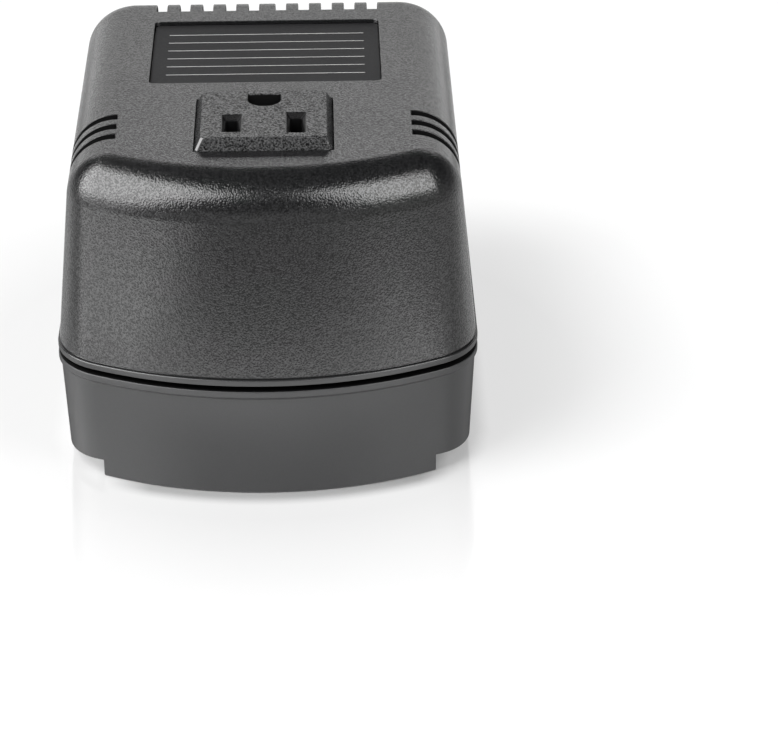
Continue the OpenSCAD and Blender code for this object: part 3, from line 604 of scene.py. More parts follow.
@dataclass(frozen=True)
class Moulded(Finish):
    """Moulded plastic or rubber with grain, a painted highlight on sharp edges and a little dust."""

    roughness: float = 0.42
    grain_size: float = 0.4
    grain_depth: float = 0.02
    speckle: float = 0.1
    # how much sharp edges are lightened as a painted highlight
    edge_highlight: float = 0.25
    dust: float = 0.05
    specular: float = 0.5
    level_grain: float = 1.0
    level_rough: float = 1.0
    glint: float = 0.0

    EDGE_HIGHLIGHT_LIFT = 2.2
    DUST_COLOUR = (0.35, 0.34, 0.32, 1.0)
    LEVEL = (0.85, 0.99)
    TURNED = (0.63, 0.82)

    def paint(self, tree: Tree, effects: Effects, vector: bpy.types.NodeSocket) -> dict[str, object]:
        """What goes into the surface's shader, for this finish.

        Args:
            tree: The material's tree.
            effects: Shared node groups.
            vector: Place on the object.

        Returns:
            Values or outputs by the name of the shader's input.
        """
        grain = tree.group(effects.grain, {"Vector": vector, "Scale": 1 / (self.grain_size * MM)})
        edge_highlight = tree.group(effects.edge_highlight, {"Vector": vector, "Reach": self.edge_highlight})["Mask"]
        dust = tree.group(effects.dust, {"Vector": vector, "Amount": self.dust})["Mask"]
        body = tree.mixed(grain["Shade"], self.shade(1 - self.speckle), self.shade(1 + self.speckle))
        # sharp edges made lighter: a painted highlight
        edge_lit = tree.mixed(edge_highlight, body, self.shade(self.EDGE_HIGHLIGHT_LIFT))
        up = tree.upward()
        rough = tree.scaled(grain["Clouds"], UNIT, (self.roughness - 0.03, self.roughness + 0.03))
        level = tree.scaled(up, self.LEVEL, (1.0, self.level_rough))
        share = tree.scaled(up, self.LEVEL, (1.0, self.level_grain))
        facing = tree.add("ShaderNodeLayerWeight", {"Blend": 0.5}).outputs["Facing"]
        inputs = {
            "Base Color": tree.mixed(dust, edge_lit, self.DUST_COLOUR),
            "Roughness": tree.math("MULTIPLY", rough, level),
            "Normal": tree.bump(tree.math("MULTIPLY", grain["Height"], share), self.grain_depth),
            "Specular IOR Level": tree.scaled(facing, self.TURNED, (self.specular, 0.05)),
        }
        if self.glint > 0:
            gloss = tree.scaled(grain["Shade"], (0.2, 0.8), (0.0, self.glint))
            turned = tree.scaled(facing, self.TURNED, (1.0, 0.1))
            inputs["Coat Weight"] = tree.math("MULTIPLY", gloss, turned)
            inputs["Coat Roughness"] = self.roughness + 0.05
        return inputs


@dataclass(frozen=True)
class Plated(Finish):
    """Metal with fine rolling grain and dull patches."""

    roughness: float = 0.32
    grain_size: float = 0.25
    grain_depth: float = 0.003

    def paint(self, tree: Tree, effects: Effects, vector: bpy.types.NodeSocket) -> dict[str, object]:
        """What goes into the surface's shader, for this finish.

        Args:
            tree: The material's tree.
            effects: Shared node groups.
            vector: Place on the object.

        Returns:
            Values or outputs by the name of the shader's input.
        """
        grain = tree.group(effects.grain, {"Vector": vector, "Scale": 1 / (self.grain_size * MM)})
        spread = (self.roughness + 0.08, self.roughness - 0.05)
        return {
            "Base Color": tree.mixed(grain["Clouds"], self.shade(0.86), self.shade(1.04)),
            "Roughness": tree.scaled(grain["Clouds"], UNIT, spread),
            "Normal": tree.bump(grain["Height"], self.grain_depth),
            "Metallic": 1.0,
        }


@dataclass(frozen=True)
class Layered(Finish):
    """Stacked sheet or laid wire: fine lines across one direction."""

    pitch: float
    direction: str
    depth: float
    roughness: float = 0.4

    CLOUD_SIZE = 0.5
    WAVE_SCALE = 0.31

    def paint(self, tree: Tree, effects: Effects, vector: bpy.types.NodeSocket) -> dict[str, object]:
        """What goes into the surface's shader, for this finish.

        Args:
            tree: The material's tree.
            effects: Shared node groups.
            vector: Place on the object.

        Returns:
            Values or outputs by the name of the shader's input.
        """
        grain = tree.group(effects.grain, {"Vector": vector, "Scale": 1 / (self.CLOUD_SIZE * MM)})
        values = {"Vector": vector, "Scale": self.WAVE_SCALE / (self.pitch * MM)}
        values |= {"Distortion": 0.4, "Detail": 1.0}
        wave = tree.add("ShaderNodeTexWave", values, wave_type="BANDS", bands_direction=self.direction)
        lines = wave.outputs[1]
        groove = tree.mixed(lines, self.shade(0.55), self.shade(1.0))
        spread = (self.roughness + 0.08, self.roughness - 0.05)
        return {
            "Base Color": tree.mixed(grain["Clouds"], groove, self.shade(1.15)),
            "Roughness": tree.scaled(lines, UNIT, spread),
            "Normal": tree.bump(lines, self.depth),
            "Metallic": 1.0,
        }


FINISHES: tuple[Finish, ...] = (
    Moulded(
        "cover_grain", (0.0105, 0.0107, 0.0112), 0.14, 0.34, 0.056, 0.6, 0.2, 0.02,
        specular=0.4, level_rough=1.6, glint=0.5,
    ),
    Moulded("rim_smooth", (0.024, 0.0242, 0.025), 0.34, 0.3, 0.002, 0.05, 0.2, 0.0),
    Moulded("base_satin", (0.036, 0.0364, 0.0375), 0.42, 0.3, 0.003, 0.05, 0.2, 0.0),
    Moulded(
        "socket_grain", (0.046, 0.0462, 0.047), 0.15, 0.34, 0.3, 1.0, 0.2, 0.02,
        specular=0.1, level_grain=0.3, level_rough=1.4, glint=0.45,
    ),
    # blade-slot lead-ins: a smooth finish whose dark colour is painted shade in the recess
    Moulded("smooth_lead_in_painted_shade", (0.008, 0.008, 0.0083), 0.2, 0.3, 0.004, 0.1, 0.0, 0.0, 0.3),
    # painted glint: a lighter, glossier finish on the cover band's top edge and on the socket's front-left
    # hip only
    Moulded("painted_glint_edge", (0.03, 0.0302, 0.031), 0.22, 0.3, 0.004, 0.1, 0.0, 0.0, 0.8),
    # painted shade: a near-black finish set on slot walls, hole walls and the base's ledge in the shadow
    # gap
    Moulded("painted_shade_dark", (0.004, 0.004, 0.0042), 0.6, 0.5, 0.002, 0.05, 0.0, 0.0, 0.12),
    Moulded("label_film", (0.02, 0.02, 0.021), 0.5, 0.5, 0.002, 0.05, 0.0, 0.02, 0.08),
    Moulded("label_ink", (0.62, 0.62, 0.61), 0.5, 0.3, 0.002, 0.04, 0.0, 0.0),
    Moulded("gland_rubber", (0.016, 0.016, 0.017), 0.55, 0.35, 0.006, 0.1, 0.15, 0.05),
    Moulded("nylon", (0.62, 0.59, 0.51), 0.45, 0.6, 0.004, 0.03, 0.0, 0.1),
    Moulded("nylon_black", (0.014, 0.014, 0.015), 0.5, 0.6, 0.004, 0.08, 0.1, 0.05),
    Moulded("winding_film", (0.62, 0.4, 0.05), 0.25, 1.5, 0.01, 0.06, 0.0, 0.05),
    Moulded("wire_brown", (0.12, 0.05, 0.02), 0.4, 0.5, 0.004, 0.05, 0.0, 0.05),
    Moulded("wire_blue", (0.03, 0.09, 0.35), 0.4, 0.5, 0.004, 0.05, 0.0, 0.05),
    Moulded("wire_black", (0.02, 0.02, 0.02), 0.4, 0.5, 0.004, 0.05, 0.0, 0.05),
    Moulded("wire_white", (0.72, 0.72, 0.7), 0.4, 0.5, 0.004, 0.03, 0.0, 0.05),
    Moulded("wire_earth", (0.3, 0.48, 0.04), 0.4, 0.5, 0.004, 0.05, 0.0, 0.05),
    Plated("zinc", (0.58, 0.59, 0.6)),
    Plated("brass", (0.66, 0.45, 0.15), 0.28),
    Layered("core_sheet", (0.2, 0.2, 0.21), 0.5, "Y", 0.03),
    Layered("laid_copper", (0.5, 0.16, 0.06), 0.45, "Z", 0.08, 0.3),
)


@dataclass(frozen=True)
class Plan:
    """Plan of the case: straight back and sides, round corners and a bowed front."""

    half_w: float = 42.0
    y_front: float = -55.0
    y_back: float = 55.0
    bow_r: float = 73.5
    corner_r: float = 14.0
    chord_error: float = 0.005

    @property
    def corner_x(self) -> float:
        """Distance from the middle to the corners' centres."""
        return self.half_w - self.corner_r

    @property
    def bow_y(self) -> float:
        """Where the centre of the bow lies."""
        return self.y_front + self.bow_r

    @property
    def front_corner_y(self) -> float:
        """Where the centres of the front corners lie, so that they run into the bow."""
        return self.bow_y - math.sqrt((self.bow_r - self.corner_r) ** 2 - self.corner_x**2)

    def stations(self) -> list[tuple[Vector, Vector]]:
        """Points along the plan line with their outward directions.

        Returns:
            Points in millimetres and unit vectors, anticlockwise.
        """
        front, back = self.front_corner_y, self.y_back - self.corner_r
        lean = math.degrees(math.atan2(self.bow_y - front, self.corner_x))
        bends = [
            ((0.0, self.bow_y), self.bow_r, lean - 180, -lean, 0),
            ((self.corner_x, front), self.corner_r, -lean, 0, 1),
            ((self.corner_x, back), self.corner_r, 0, 90, 0),
            ((-self.corner_x, back), self.corner_r, 90, 180, 0),
            ((-self.corner_x, front), self.corner_r, 180, 180 + lean, 0),
        ]
        found = []
        for centre, radius, start, end, skip in bends:
            step = math.degrees(2 * math.acos(1 - self.chord_error / radius))
            for p in arc(centre, radius, start, end, math.ceil((end - start) / step))[skip:]:
                out = Vector((p[0] - centre[0], p[1] - centre[1], 0)).normalized()
                found.append((Vector((p[0], p[1], 0)), out))
        return found[:-1]

    def solid(self, name: str, section: Iterable[Point]) -> bpy.types.Object:
        """Closed solid over the plan.

        Args:
            name: Name of the object.
            section: Distance out from the plan line and height of each ring.

        Returns:
            The new object.
        """
        line = self.stations()
        maker = Maker()
        maker.loft([[(p + out * n + Vector((0, 0, z))) * MM for p, n in line] for out, z in section])
        return maker.piece(name)


@dataclass
class Piece:
    """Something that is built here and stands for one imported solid."""

    finishes: dict[str, bpy.types.Material]

    def finish_at(self, at: Vector, normal: Vector) -> str:
        """Which finish a face has, where a piece has several.

        Args:
            at: Middle of the face, in millimetres.
            normal: Its outward direction.

        Returns:
            Name of the finish.
        """
        raise NotImplementedError

    def dress(
        self, thing: bpy.types.Object, names: Sequence[str], slot: str, node: str | None = None
    ) -> None:
        """Gives a finished mesh its materials and its place in the frame.

        Args:
            thing: The finished object.
            names: Names of its finishes, the main one first.
            slot: The record's material slot; not used.
            node: The solid that it stands for, if there is one.
        """
        thing.data.materials.clear()
        thing.data.materials.append(self.finishes[names[0]])
        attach(thing, ROOT)
        if node is not None:
            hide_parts(node)
        for name in names[1:]:
            thing.data.materials.append(self.finishes[name])
        if len(names) > 1:
            for face in thing.data.polygons:
                face.material_index = names.index(self.finish_at(face.center / MM, face.normal))
        LOG.info("%s: %d faces", thing.name, len(thing.data.polygons))


@dataclass
class CaseScrews(Piece):
    """Four pan-head screws from below, in the base's pillars."""

    repeats: Repeats
    x: float = 28.0
    ys: Point = (-34.0, 45.0)
    seat: float = 14.0
    length: float = 22.0
    shank_r: float = 1.5
    head_r: float = 2.9
    head_h: float = 2.2
    crown_r: float = 0.9
    tip_r: float = 0.4
    thread_d: float = 0.25
    pitch: float = 1.0
    cross_size: Triple = (1.885, 0.3625, 1.1)
    sharp: float = 35.0

    def places(self) -> list[Point]:
        """Where the screws stand."""
        return [(side * self.x, y) for side in (-1, 1) for y in self.ys]

    def profile(self) -> list[Point]:
        """Radius and height of each ring, from the middle of the head to the tip.

        Returns:
            The rings.
        """
        root_r, end = self.shank_r - self.thread_d, self.head_h + self.length
        crown = arc((self.head_r - self.crown_r, self.crown_r), self.crown_r, -90, 0, 6)
        rings = [(self.tip_r, 0.0), *crown, (self.head_r, self.head_h), (self.shank_r, self.head_h)]
        for turn in range(1, int(self.length / self.pitch) - 1):
            z = self.head_h + turn * self.pitch
            rings += [(root_r, z), (self.shank_r, z + self.pitch / 2)]
        return [*rings, (root_r, end - self.pitch), (self.tip_r, end)]

    def build(self) -> None:
        """Makes one screw with its cross recess and sets it in all four places."""
        maker, cross = Maker(), Maker()
        maker.turned(self.profile(), (0, 0, 0), sides=32)
        screw = maker.piece("case_screw_set")
        arm, thin, deep = self.cross_size
        cross.box((-arm, -thin, -PAST), (arm, thin, deep))
        cross.box((-thin, -arm, -PAST), (thin, arm, deep))
        combine(screw, cross, Operation.CUT, crossing=True)
        screw.data.transform(Matrix.Translation(mm(0, 0, self.seat - self.head_h)))
        screw.data.shade_smooth()
        screw.data.set_sharp_from_angle(angle=math.radians(self.sharp))
        front, back = self.ys
        values = {"Width": 2 * self.x * MM, "Length": (back - front) * MM}
        values |= {"Centre": mm(0, (front + back) / 2, 0), "Finish": self.finishes["zinc"]}
        self.repeats.run(screw, self.repeats.grid, values)
        self.dress(screw, ("zinc",), "zinc", "case_screws")


@dataclass(frozen=True)
class SlotRow:
    """Row of vent slots beside the middle, which has a mirror image on the other side."""

    count: int
    first: float
    pitch: float
    width: float
    end: float


@dataclass
class TopCover(Piece):
    """Upper shell with its brow, rim band, vent slots, label recess and socket opening."""

    plan: Plan
    repeats: Repeats
    screws: CaseScrews
    bottom: float = 24.7
    band_top: float = 25.95
    wall_from: float = 26.3
    top: float = 66.2
    wall: float = 2.5
    lean: float = 5.3
    brow_r: float = 9.5
    brow_steps: int = 30
    band_out: float = 0.35
    groove_d: float = 0.8
    pillar_r: float = 4.0
    thread_fit: float = 0.05
    post_x: float = 19.25
    post_r: float = 3.0
    post_l: float = 5.5
    post_hole_r: float = 1.25
    socket_size: Point = (27.5, 26.1)
    socket_y: float = -22.05
    label_size: Point = (47.5, 34.0)
    label_y: float = 17.0
    label_d: float = 1.2
    label_r: float = 1.2
    slot_bottom: float = 48.2
    rear_slots: SlotRow = SlotRow(5, 2.9, 4.93, 2.3, 40.2)
    side_slots: SlotRow = SlotRow(3, -26.9, 4.85, 2.45, 29.2)
    slot_near: float = 0.3
    edge: float = 0.16

    @property
    def roof(self) -> float:
        """Height of the underside of the top."""
        return self.top - self.wall

    def brow(self, radius: float) -> list[Point]:
        """Round stretch between the leaning wall and the top, at one of the wall's faces.

        Args:
            radius: Radius of that face.

        Returns:
            Distance out from the plan line and height of each ring.
        """
        lean = math.radians(self.lean)
        z = self.top - self.brow_r
        rise = z + self.brow_r * math.sin(lean) - self.wall_from
        x = -self.band_out - rise * math.tan(lean) - self.brow_r * math.cos(lean)
        return arc((x, z), radius, self.lean, 90, self.brow_steps)

    def outer(self) -> list[Point]:
        """Section of the outside.

        Returns:
            Distance out from the plan line and height of each ring.
        """
        inset = -self.groove_d
        rim = [(0, self.bottom), (0, self.band_top), (inset, self.band_top), (inset, self.wall_from)]
        return [*rim, (-self.band_out, self.wall_from), *self.brow(self.brow_r)]

    def inner(self) -> list[Point]:
        """Section of the hollow inside, open past the bottom.

        Returns:
            Distance out from the plan line and height of each ring.
        """
        inset = -self.band_out - self.wall
        return [(inset, self.bottom - PAST), (inset, self.wall_from), *self.brow(self.brow_r - self.wall)]

    def posts(self) -> list[Triple]:
        """Feet of the two posts that hold the socket's carrier."""
        return [(side * self.post_x, self.socket_y, self.roof - self.post_l) for side in (-1, 1)]

    def hollow(self) -> bpy.types.Object:
        """Shell with its pillars and posts, before anything is cut through it.

        Returns:
            The new object.
        """
        standing = Maker()
        for x, y in self.screws.places():
            standing.drum(self.pillar_r, self.top, (x, y, self.bottom - 2 * PAST))
        for foot in self.posts():
            standing.drum(self.post_r, self.top, foot)
        room = self.plan.solid("cover_room", self.inner())
        combine(room, standing, Operation.CUT)
        tool = Maker.taken_from(room)
        shell = self.plan.solid("cover_case", self.outer())
        combine(shell, tool, Operation.CUT)
        return shell

    def openings(self) -> Maker:
        """Solids of the socket opening, the label recess and the screw holes.

        Returns:
            The solids to cut.
        """
        cuts = Maker()
        width, length = self.socket_size
        low = (-width / 2, self.socket_y - length / 2, self.roof - PAST)
        cuts.box(low, (width / 2, self.socket_y + length / 2, self.top + PAST))
        outline = rounded_rectangle(self.label_size, self.label_r, (0, self.label_y))
        cuts.prism(outline, self.top - self.label_d, self.top + PAST)
        depth = self.screws.seat + self.screws.length - self.bottom + 2 * PAST
        for x, y in self.screws.places():
            cuts.drum(self.screws.shank_r + self.thread_fit, depth, (x, y, self.bottom - PAST))
        for x, y, z in self.posts():
            cuts.drum(self.post_hole_r, self.post_l + PAST, (x, y, z - PAST))
        return cuts

    def cut_slots(self, shell: bpy.types.Object) -> None:
        """Cuts the rear slots and the side slots through the shell.

        Args:
            shell: The cover's shell.
        """
        high = self.top + PAST
        z, tall = (self.slot_bottom + high) / 2, high - self.slot_bottom
        rows = ((self.rear_slots, self.plan.y_back, False), (self.side_slots, self.plan.half_w, True))
        for row, wall, sideways in rows:
            far = wall + PAST
            values = {"Count": row.count, "Finish": self.finishes["cover_grain"]}
            spans = {
                "First": (row.first, (row.end + far) / 2, z),
                "Step": (row.pitch, 0, 0),
                "Size": (row.width, far - row.end, tall),
            }
            for name, (across, along, up) in spans.items():
                values[name] = mm(along, across, up) if sideways else mm(across, along, up)
            self.repeats.run(shell, self.repeats.slots, values)

    def in_slot(self, at: Vector, normal: Vector) -> bool:
        """Whether a face is a wall of a vent slot.

        Args:
            at: Middle of the face, in millimetres.
            normal: Its outward direction.

        Returns:
            True inside a slot.
        """
        square, upright = 0.97, abs(normal.z) < 0.05
        if at.z <= self.slot_bottom - self.slot_near:
            return False
        row, depth = self.rear_slots, at.y - self.rear_slots.end
        if abs(at.x) < row.first + row.count * row.pitch and depth > -self.slot_near:
            ends = upright and abs(normal.y) > square and depth < self.slot_near
            if ends or abs(normal.x) > square:
                return True
        row, depth = self.side_slots, abs(at.x) - self.side_slots.end
        low, high = row.first - row.width, row.first + (row.count - 1) * row.pitch + row.width
        if low < at.y < high and depth > -self.slot_near:
            ends = upright and abs(normal.x) > square and depth < self.slot_near
            return ends or abs(normal.y) > square
        return False

    def finish_at(self, at: Vector, normal: Vector) -> str:
        """Which finish a face has: the grain, the rim band, the painted glint on its top edge or the
        painted shade inside a slot.

        Args:
            at: Middle of the face, in millimetres.
            normal: Its outward direction.

        Returns:
            Name of the finish.
        """
        if at.z < self.wall_from - 0.1:
            # the band's top edge gets a painted glint
            edge_lit = at.z > self.band_top - 0.3 and 0.2 < normal.z < 0.95
            return "painted_glint_edge" if edge_lit else "rim_smooth"
        # the walls of the vent slots get painted shade
        return "painted_shade_dark" if self.in_slot(at, normal) else "cover_grain"

    def build(self) -> None:
        """Makes the cover."""
        shell = self.hollow()
        combine(shell, self.openings(), Operation.CUT)
        self.cut_slots(shell)
        soften(shell, self.edge)
        names = ("cover_grain", "rim_smooth", "painted_shade_dark", "painted_glint_edge")
        self.dress(shell, names, "shell", "top_cover")


@dataclass
class BaseShell(Piece):
    """Lower shell with its lip, tongue, corner reliefs, screw pillars and gland seat."""

    plan: Plan
    screws: CaseScrews
    height: float = 23.5
    lip_h: float = 1.3
    lip_out: float = 0.5
    lean: float = 3.0
    foot_r: float = 0.5
    wall: float = 2.5
    floor_t: float = 2.5
    tongue: Triple = (3.32, 4.72, 28.7)
    pillar_top: float = 24.7
    pillar_r: float = 4.0
    screw_fit: float = 0.3
    relief: tuple[float, float, float, float] = (33.3, 3.7, 0.8, 24.0)
    core_seat: float = 6.5
    feet: Triple = (16.0, -5.3, 41.4)
    foot_pad_r: float = 4.5
    core_pad: Triple = (2.75, 2.7, 33.4)
    block_pads: tuple[float, float, float, float] = (5.0, -37.0, 4.0, 8.0)
    pilot_r: float = 1.45
    pilot_floor: float = 1.0
    gland: Triple = (54.5, 12.5, 49.1)
    gland_rs: Triple = (8.8, 7.7, 5.8)
    gland_seat: float = 1.4
    edge: float = 0.2

    def wall_x(self, z: float) -> float:
        """Distance of the outer wall from the plan line at a height."""
        drop = self.height - self.lip_h - self.lip_out - z
        return -self.lip_out - drop * math.tan(math.radians(self.lean))

    def outer(self) -> list[Point]:
        """Section of the outside with its lip and tongue.

        Returns:
            Distance out from the plan line and height of each ring.
        """
        lip = self.height - self.lip_h
        lean = math.radians(self.lean)
        x = self.wall_x(self.foot_r * (1 - math.sin(lean))) - self.foot_r * math.cos(lean)
        foot = arc((x, self.foot_r), self.foot_r, -90, -self.lean, 6)
        proud = [(-self.lip_out, lip - self.lip_out), (0, lip), (0, self.height)]
        out, _, top = self.tongue
        return [*foot, *proud, (-out, self.height), (-out, top)]

    def inner(self) -> list[Point]:
        """Section of the hollow inside, open past the tongue.

        Returns:
            Distance out from the plan line and height of each ring.
        """
        shelf = self.height - self.wall
        _, inset, top = self.tongue
        drop = inset - self.wall + self.wall_x(shelf)
        low = (self.wall_x(self.floor_t) - self.wall, self.floor_t)
        bend = (self.wall_x(shelf - drop) - self.wall, shelf - drop)
        return [low, bend, (-inset, shelf), (-inset, top + PAST)]

    def corners(self) -> list[Point]:
        """Signs of the four corners."""
        return [(side, end) for side in (-1, 1) for end in (-1, 1)]

    def standing(self) -> Maker:
        """Pillars, pads and raised floors that stand inside.

        Returns:
            The solids to leave standing.
        """
        maker = Maker()
        for x, y in self.screws.places():
            maker.drum(self.pillar_r, self.pillar_top, (x, y, 0))
        foot_x, *foot_ys = self.feet
        half, low, high = self.core_pad
        pad_x, pad_y, pad_r, pad_h = self.block_pads
        for side in (-1, 1):
            for y in foot_ys:
                maker.drum(self.foot_pad_r, self.core_seat, (side * foot_x, y, 0))
            maker.box((side * foot_x - half, low, 0), (side * foot_x + half, high, self.core_seat))
            maker.drum(pad_r, pad_h, (side * pad_x, pad_y, 0))
        land, rise, _, length = self.relief
        back = self.plan.y_back
        for side, end in self.corners():
            xs = sorted((side * (land - self.floor_t), side * (self.plan.half_w + PAST)))
            ys = sorted((end * (back + PAST), end * (back - length - self.floor_t)))
            maker.box((xs[0], ys[0], -PAST), (xs[1], ys[1], rise + self.floor_t))
        return maker

    def boss(self) -> Maker:
        """Upright boss through the leaning rear wall, for the gland.

        Returns:
            The solid to add.
        """
        face, z, end = self.gland
        maker = Maker()
        maker.drum(self.gland_rs[0], face - end, (0, face, z), Axis.FORWARD)
        return maker

    def cuts(self) -> Maker:
        """Solids of the corner reliefs, the screw holes and the gland's seat.

        Returns:
            The solids to cut.
        """
        maker = Maker()
        land, rise, fall, length = self.relief
        back, wide = self.plan.y_back, self.plan.half_w + 2 * PAST
        far = rise - fall * (wide - land) / (self.plan.half_w - land)
        section = [(land, -PAST), (wide, -PAST), (wide, far), (land, rise)]
        for side, end in self.corners():
            ys = [end * (back - length), end * (back + 2 * PAST)]
            rings = [[mm(side * x, y, z) for x, z in section] for y in ys]
            maker.loft(rings if side * end < 0 else rings[::-1])
        bore, hole = self.screws.head_r + self.screw_fit, self.screws.shank_r + self.screw_fit
        seat, top = self.screws.seat, self.pillar_top + PAST
        for x, y in self.screws.places():
            maker.turned([(bore, -PAST), (bore, seat), (hole, seat), (hole, top)], (x, y, 0))
        foot_x, *foot_ys = self.feet
        pad_x, pad_y, _, pad_h = self.block_pads
        for side in (-1, 1):
            for y in foot_ys:
                maker.drum(self.pilot_r, self.core_seat, (side * foot_x, y, self.pilot_floor))
            maker.drum(self.pilot_r, pad_h, (side * pad_x, pad_y, self.floor_t))
        face, z, end = self.gland
        _, wide, neck = self.gland_rs
        seat = back - face + self.gland_seat
        through = [(wide, -PAST), (wide, seat), (neck, seat), (neck, back - end + PAST)]
        maker.turned(through, (0, back, z), Axis.FORWARD, 64)
        return maker

    def finish_at(self, at: Vector, normal: Vector) -> str:
        """Which finish a face has: satin, or painted shade for what stands in the shadow gap."""
        # the base's top faces in the shadow gap get painted shade
        return "painted_shade_dark" if at.z > self.height - 0.02 else "base_satin"

    def build(self) -> None:
        """Makes the base."""
        room = self.plan.solid("base_room", self.inner())
        combine(room, self.standing(), Operation.CUT, crossing=True)
        combine(room, self.boss(), Operation.CUT)
        shell = self.plan.solid("base_case", self.outer())
        combine(shell, self.boss(), Operation.ADD)
        combine(shell, Maker.taken_from(room), Operation.CUT)
        combine(shell, self.cuts(), Operation.CUT)
        soften(shell, self.edge)
        self.dress(shell, ("base_satin", "painted_shade_dark"), "shell", "base_shell")


@dataclass
class SocketFace(Piece):
    """Raised boss with bevelled edges, two blade slots and the round-ended earth hole."""

    size: Point = (27.1, 25.7)
    y: float = -22.05
    flange: Triple = (1.8, 62.1, 63.7)
    top: float = 66.2
    face: float = 68.5
    bevel: float = 1.15
    blade_x: float = 6.35
    blade_y: float = -26.6
    blade_w: float = 2.3
    blade_ls: Point = (6.9, 8.4)
    lead_in: float = 0.85
    lead_d: float = 1.0
    earth_y: float = -14.7
    earth_r: float = 3.3
    earth_back: float = 2.65
    hip_r: float = 0.9
    hip_w: float = 1.0
    near: float = 0.1
    edge: float = 0.22

    def ring(self, grow: float, z: float) -> list[Vector]:
        """Rectangle round the boss with eased corners, larger than it by an amount all round."""
        width, length = (side + 2 * grow for side in self.size)
        return [mm(x, y, z) for x, y in rounded_rectangle((width, length), self.hip_r, (0, self.y), 3)]

    def finish_at(self, at: Vector, normal: Vector) -> str:
        """Which finish a face has: the grain, a smooth lead-in in painted shade, painted shade inside a
        hole or the painted glint on the front-left hip.

        Args:
            at: Middle of the face, in millimetres.
            normal: Its outward direction.

        Returns:
            Name of the finish.
        """
        bent = min(abs(normal.x), abs(normal.y)) > 0.1
        hip_x = self.hip_w - self.size[0] / 2 + self.bevel
        # only the front-left hip gets the painted glint
        if bent and at.z > self.top and at.x < hip_x and at.y < self.y:
            return "painted_glint_edge"
        if at.z > self.face - self.near or at.z < self.flange[1] + self.near / 2:
            return "socket_grain"
        for side, length in zip((-1, 1), self.blade_ls):
            across, along = abs(at.x - side * self.blade_x), abs(at.y - self.blade_y)
            if across < self.blade_w / 2 + self.lead_in and along < length / 2 + self.lead_in:
                # deep walls of a blade slot get painted shade, and its lead-in a smooth finish in painted
                # shade
                return "painted_shade_dark" if bent or at.z < self.face - self.lead_d else "smooth_lead_in_painted_shade"
        reach = self.earth_r + self.near
        deep = abs(at.x) < reach and abs(at.y - self.earth_y) < reach and abs(normal.z) < 0.3
        # the earth hole's walls get painted shade
        return "painted_shade_dark" if deep else "socket_grain"

    def slots(self) -> Maker:
        """Solids of the blade slots with their lead-ins, and of the earth hole.

        Returns:
            The solids to cut.
        """
        cuts = Maker()
        low = self.flange[1] - PAST
        levels = ((0, low), (0, self.face - self.lead_d), (2 * self.lead_in, self.face + self.lead_d))
        for side, length in zip((-1, 1), self.blade_ls):
            rings = []
            for grow, z in levels:
                x, y = self.blade_w / 2 + grow, length / 2 + grow
                corners = ((-x, -y), (x, -y), (x, y), (-x, y))
                rings.append([mm(side * self.blade_x + a, self.blade_y + b, z) for a, b in corners])
            cuts.loft(rings)
        outline = arc((0, self.earth_y), self.earth_r, 180, 360, 32)
        back = self.earth_y + self.earth_back
        outline += [(self.earth_r, back), (-self.earth_r, back)]
        cuts.prism(outline, low, self.face + PAST)
        return cuts

    def build(self) -> None:
        """Makes the socket's face."""
        over, low, high = self.flange
        body = Maker()
        levels = [(over, low), (over, high), (0, high), (0, self.top), (-self.bevel, self.face)]
        body.loft([self.ring(grow, z) for grow, z in levels])
        thing = body.piece("socket_boss")
        combine(thing, self.slots(), Operation.CUT)
        soften(thing, self.edge)
        names = ("socket_grain", "smooth_lead_in_painted_shade", "painted_shade_dark", "painted_glint_edge")
        self.dress(thing, names, "socket", "socket_face")


@dataclass
class RatingPlate(Piece):
    """Label in its recess, with plain printed rules and no lettering."""

    repeats: Repeats
    size: Point = (47.1, 33.6)
    y: float = 17.0
    low: float = 65.0
    high: float = 65.4
    radius: float = 1.2
    edge: float = 0.08
    rule_count: int = 6
    rule_size: Point = (41.0, 0.22)
    rule_r: float = 0.099
    rule_first: float = 6.2
    rule_step: float = 4.4
    ink_t: float = 0.02

    def build(self) -> None:
        """Makes the film and the rules printed on it."""
        film, line = Maker(), Maker()
        film.prism(rounded_rectangle(self.size, self.radius, (0, self.y)), self.low, self.high)
        plate = film.piece("label_plate")
        soften(plate, self.edge)
        self.dress(plate, ("label_film",), "label", "rating_plate")
        line.prism(rounded_rectangle(self.rule_size, self.rule_r, (0, 0), 3), 0, self.ink_t)
        rules = line.piece("label_rules")
        values = {"Count": self.rule_count, "Finish": self.finishes["label_ink"]}
        values |= {"First": mm(0, self.rule_first, self.high), "Step": mm(0, self.rule_step, 0)}
        self.repeats.run(rules, self.repeats.rows, values)
        self.dress(rules, ("label_ink",), "label")


@dataclass
class CordGland(Piece):
    """Rubber gland at the back of the base, with an open bore."""

    face: float = 54.5
    z: float = 12.5
    bore_r: float = 3.6
    neck_r: float = 5.75
    flange_r: float = 7.4
    flange_t: float = 1.4
    barb: Triple = (5.5, 7.5, 7.0)
    lip_r: float = 0.45
    edge: float = 0.12

    def build(self) -> None:
        """Makes the gland as one turned ring."""
        start, end, barb_r = self.barb
        r = self.lip_r
        profile = arc((self.flange_r - r, r), r, -90, 0, 5)
        profile += [(self.flange_r, self.flange_t), (self.neck_r, self.flange_t), (self.neck_r, start)]
        profile += [(barb_r, start), (self.neck_r, end), (self.bore_r, end)]
        profile += arc((self.bore_r + r, r), r, 180, 270, 5)
        maker = Maker()
        maker.turned(profile, (0, self.face, self.z), Axis.FORWARD, 72, hoop=True)
        bmesh.ops.recalc_face_normals(maker.bm, faces=maker.bm.faces)
        ring = maker.piece("gland_ring")
        soften(ring, self.edge)
        self.dress(ring, ("gland_rubber",), "gland", "cord_gland")


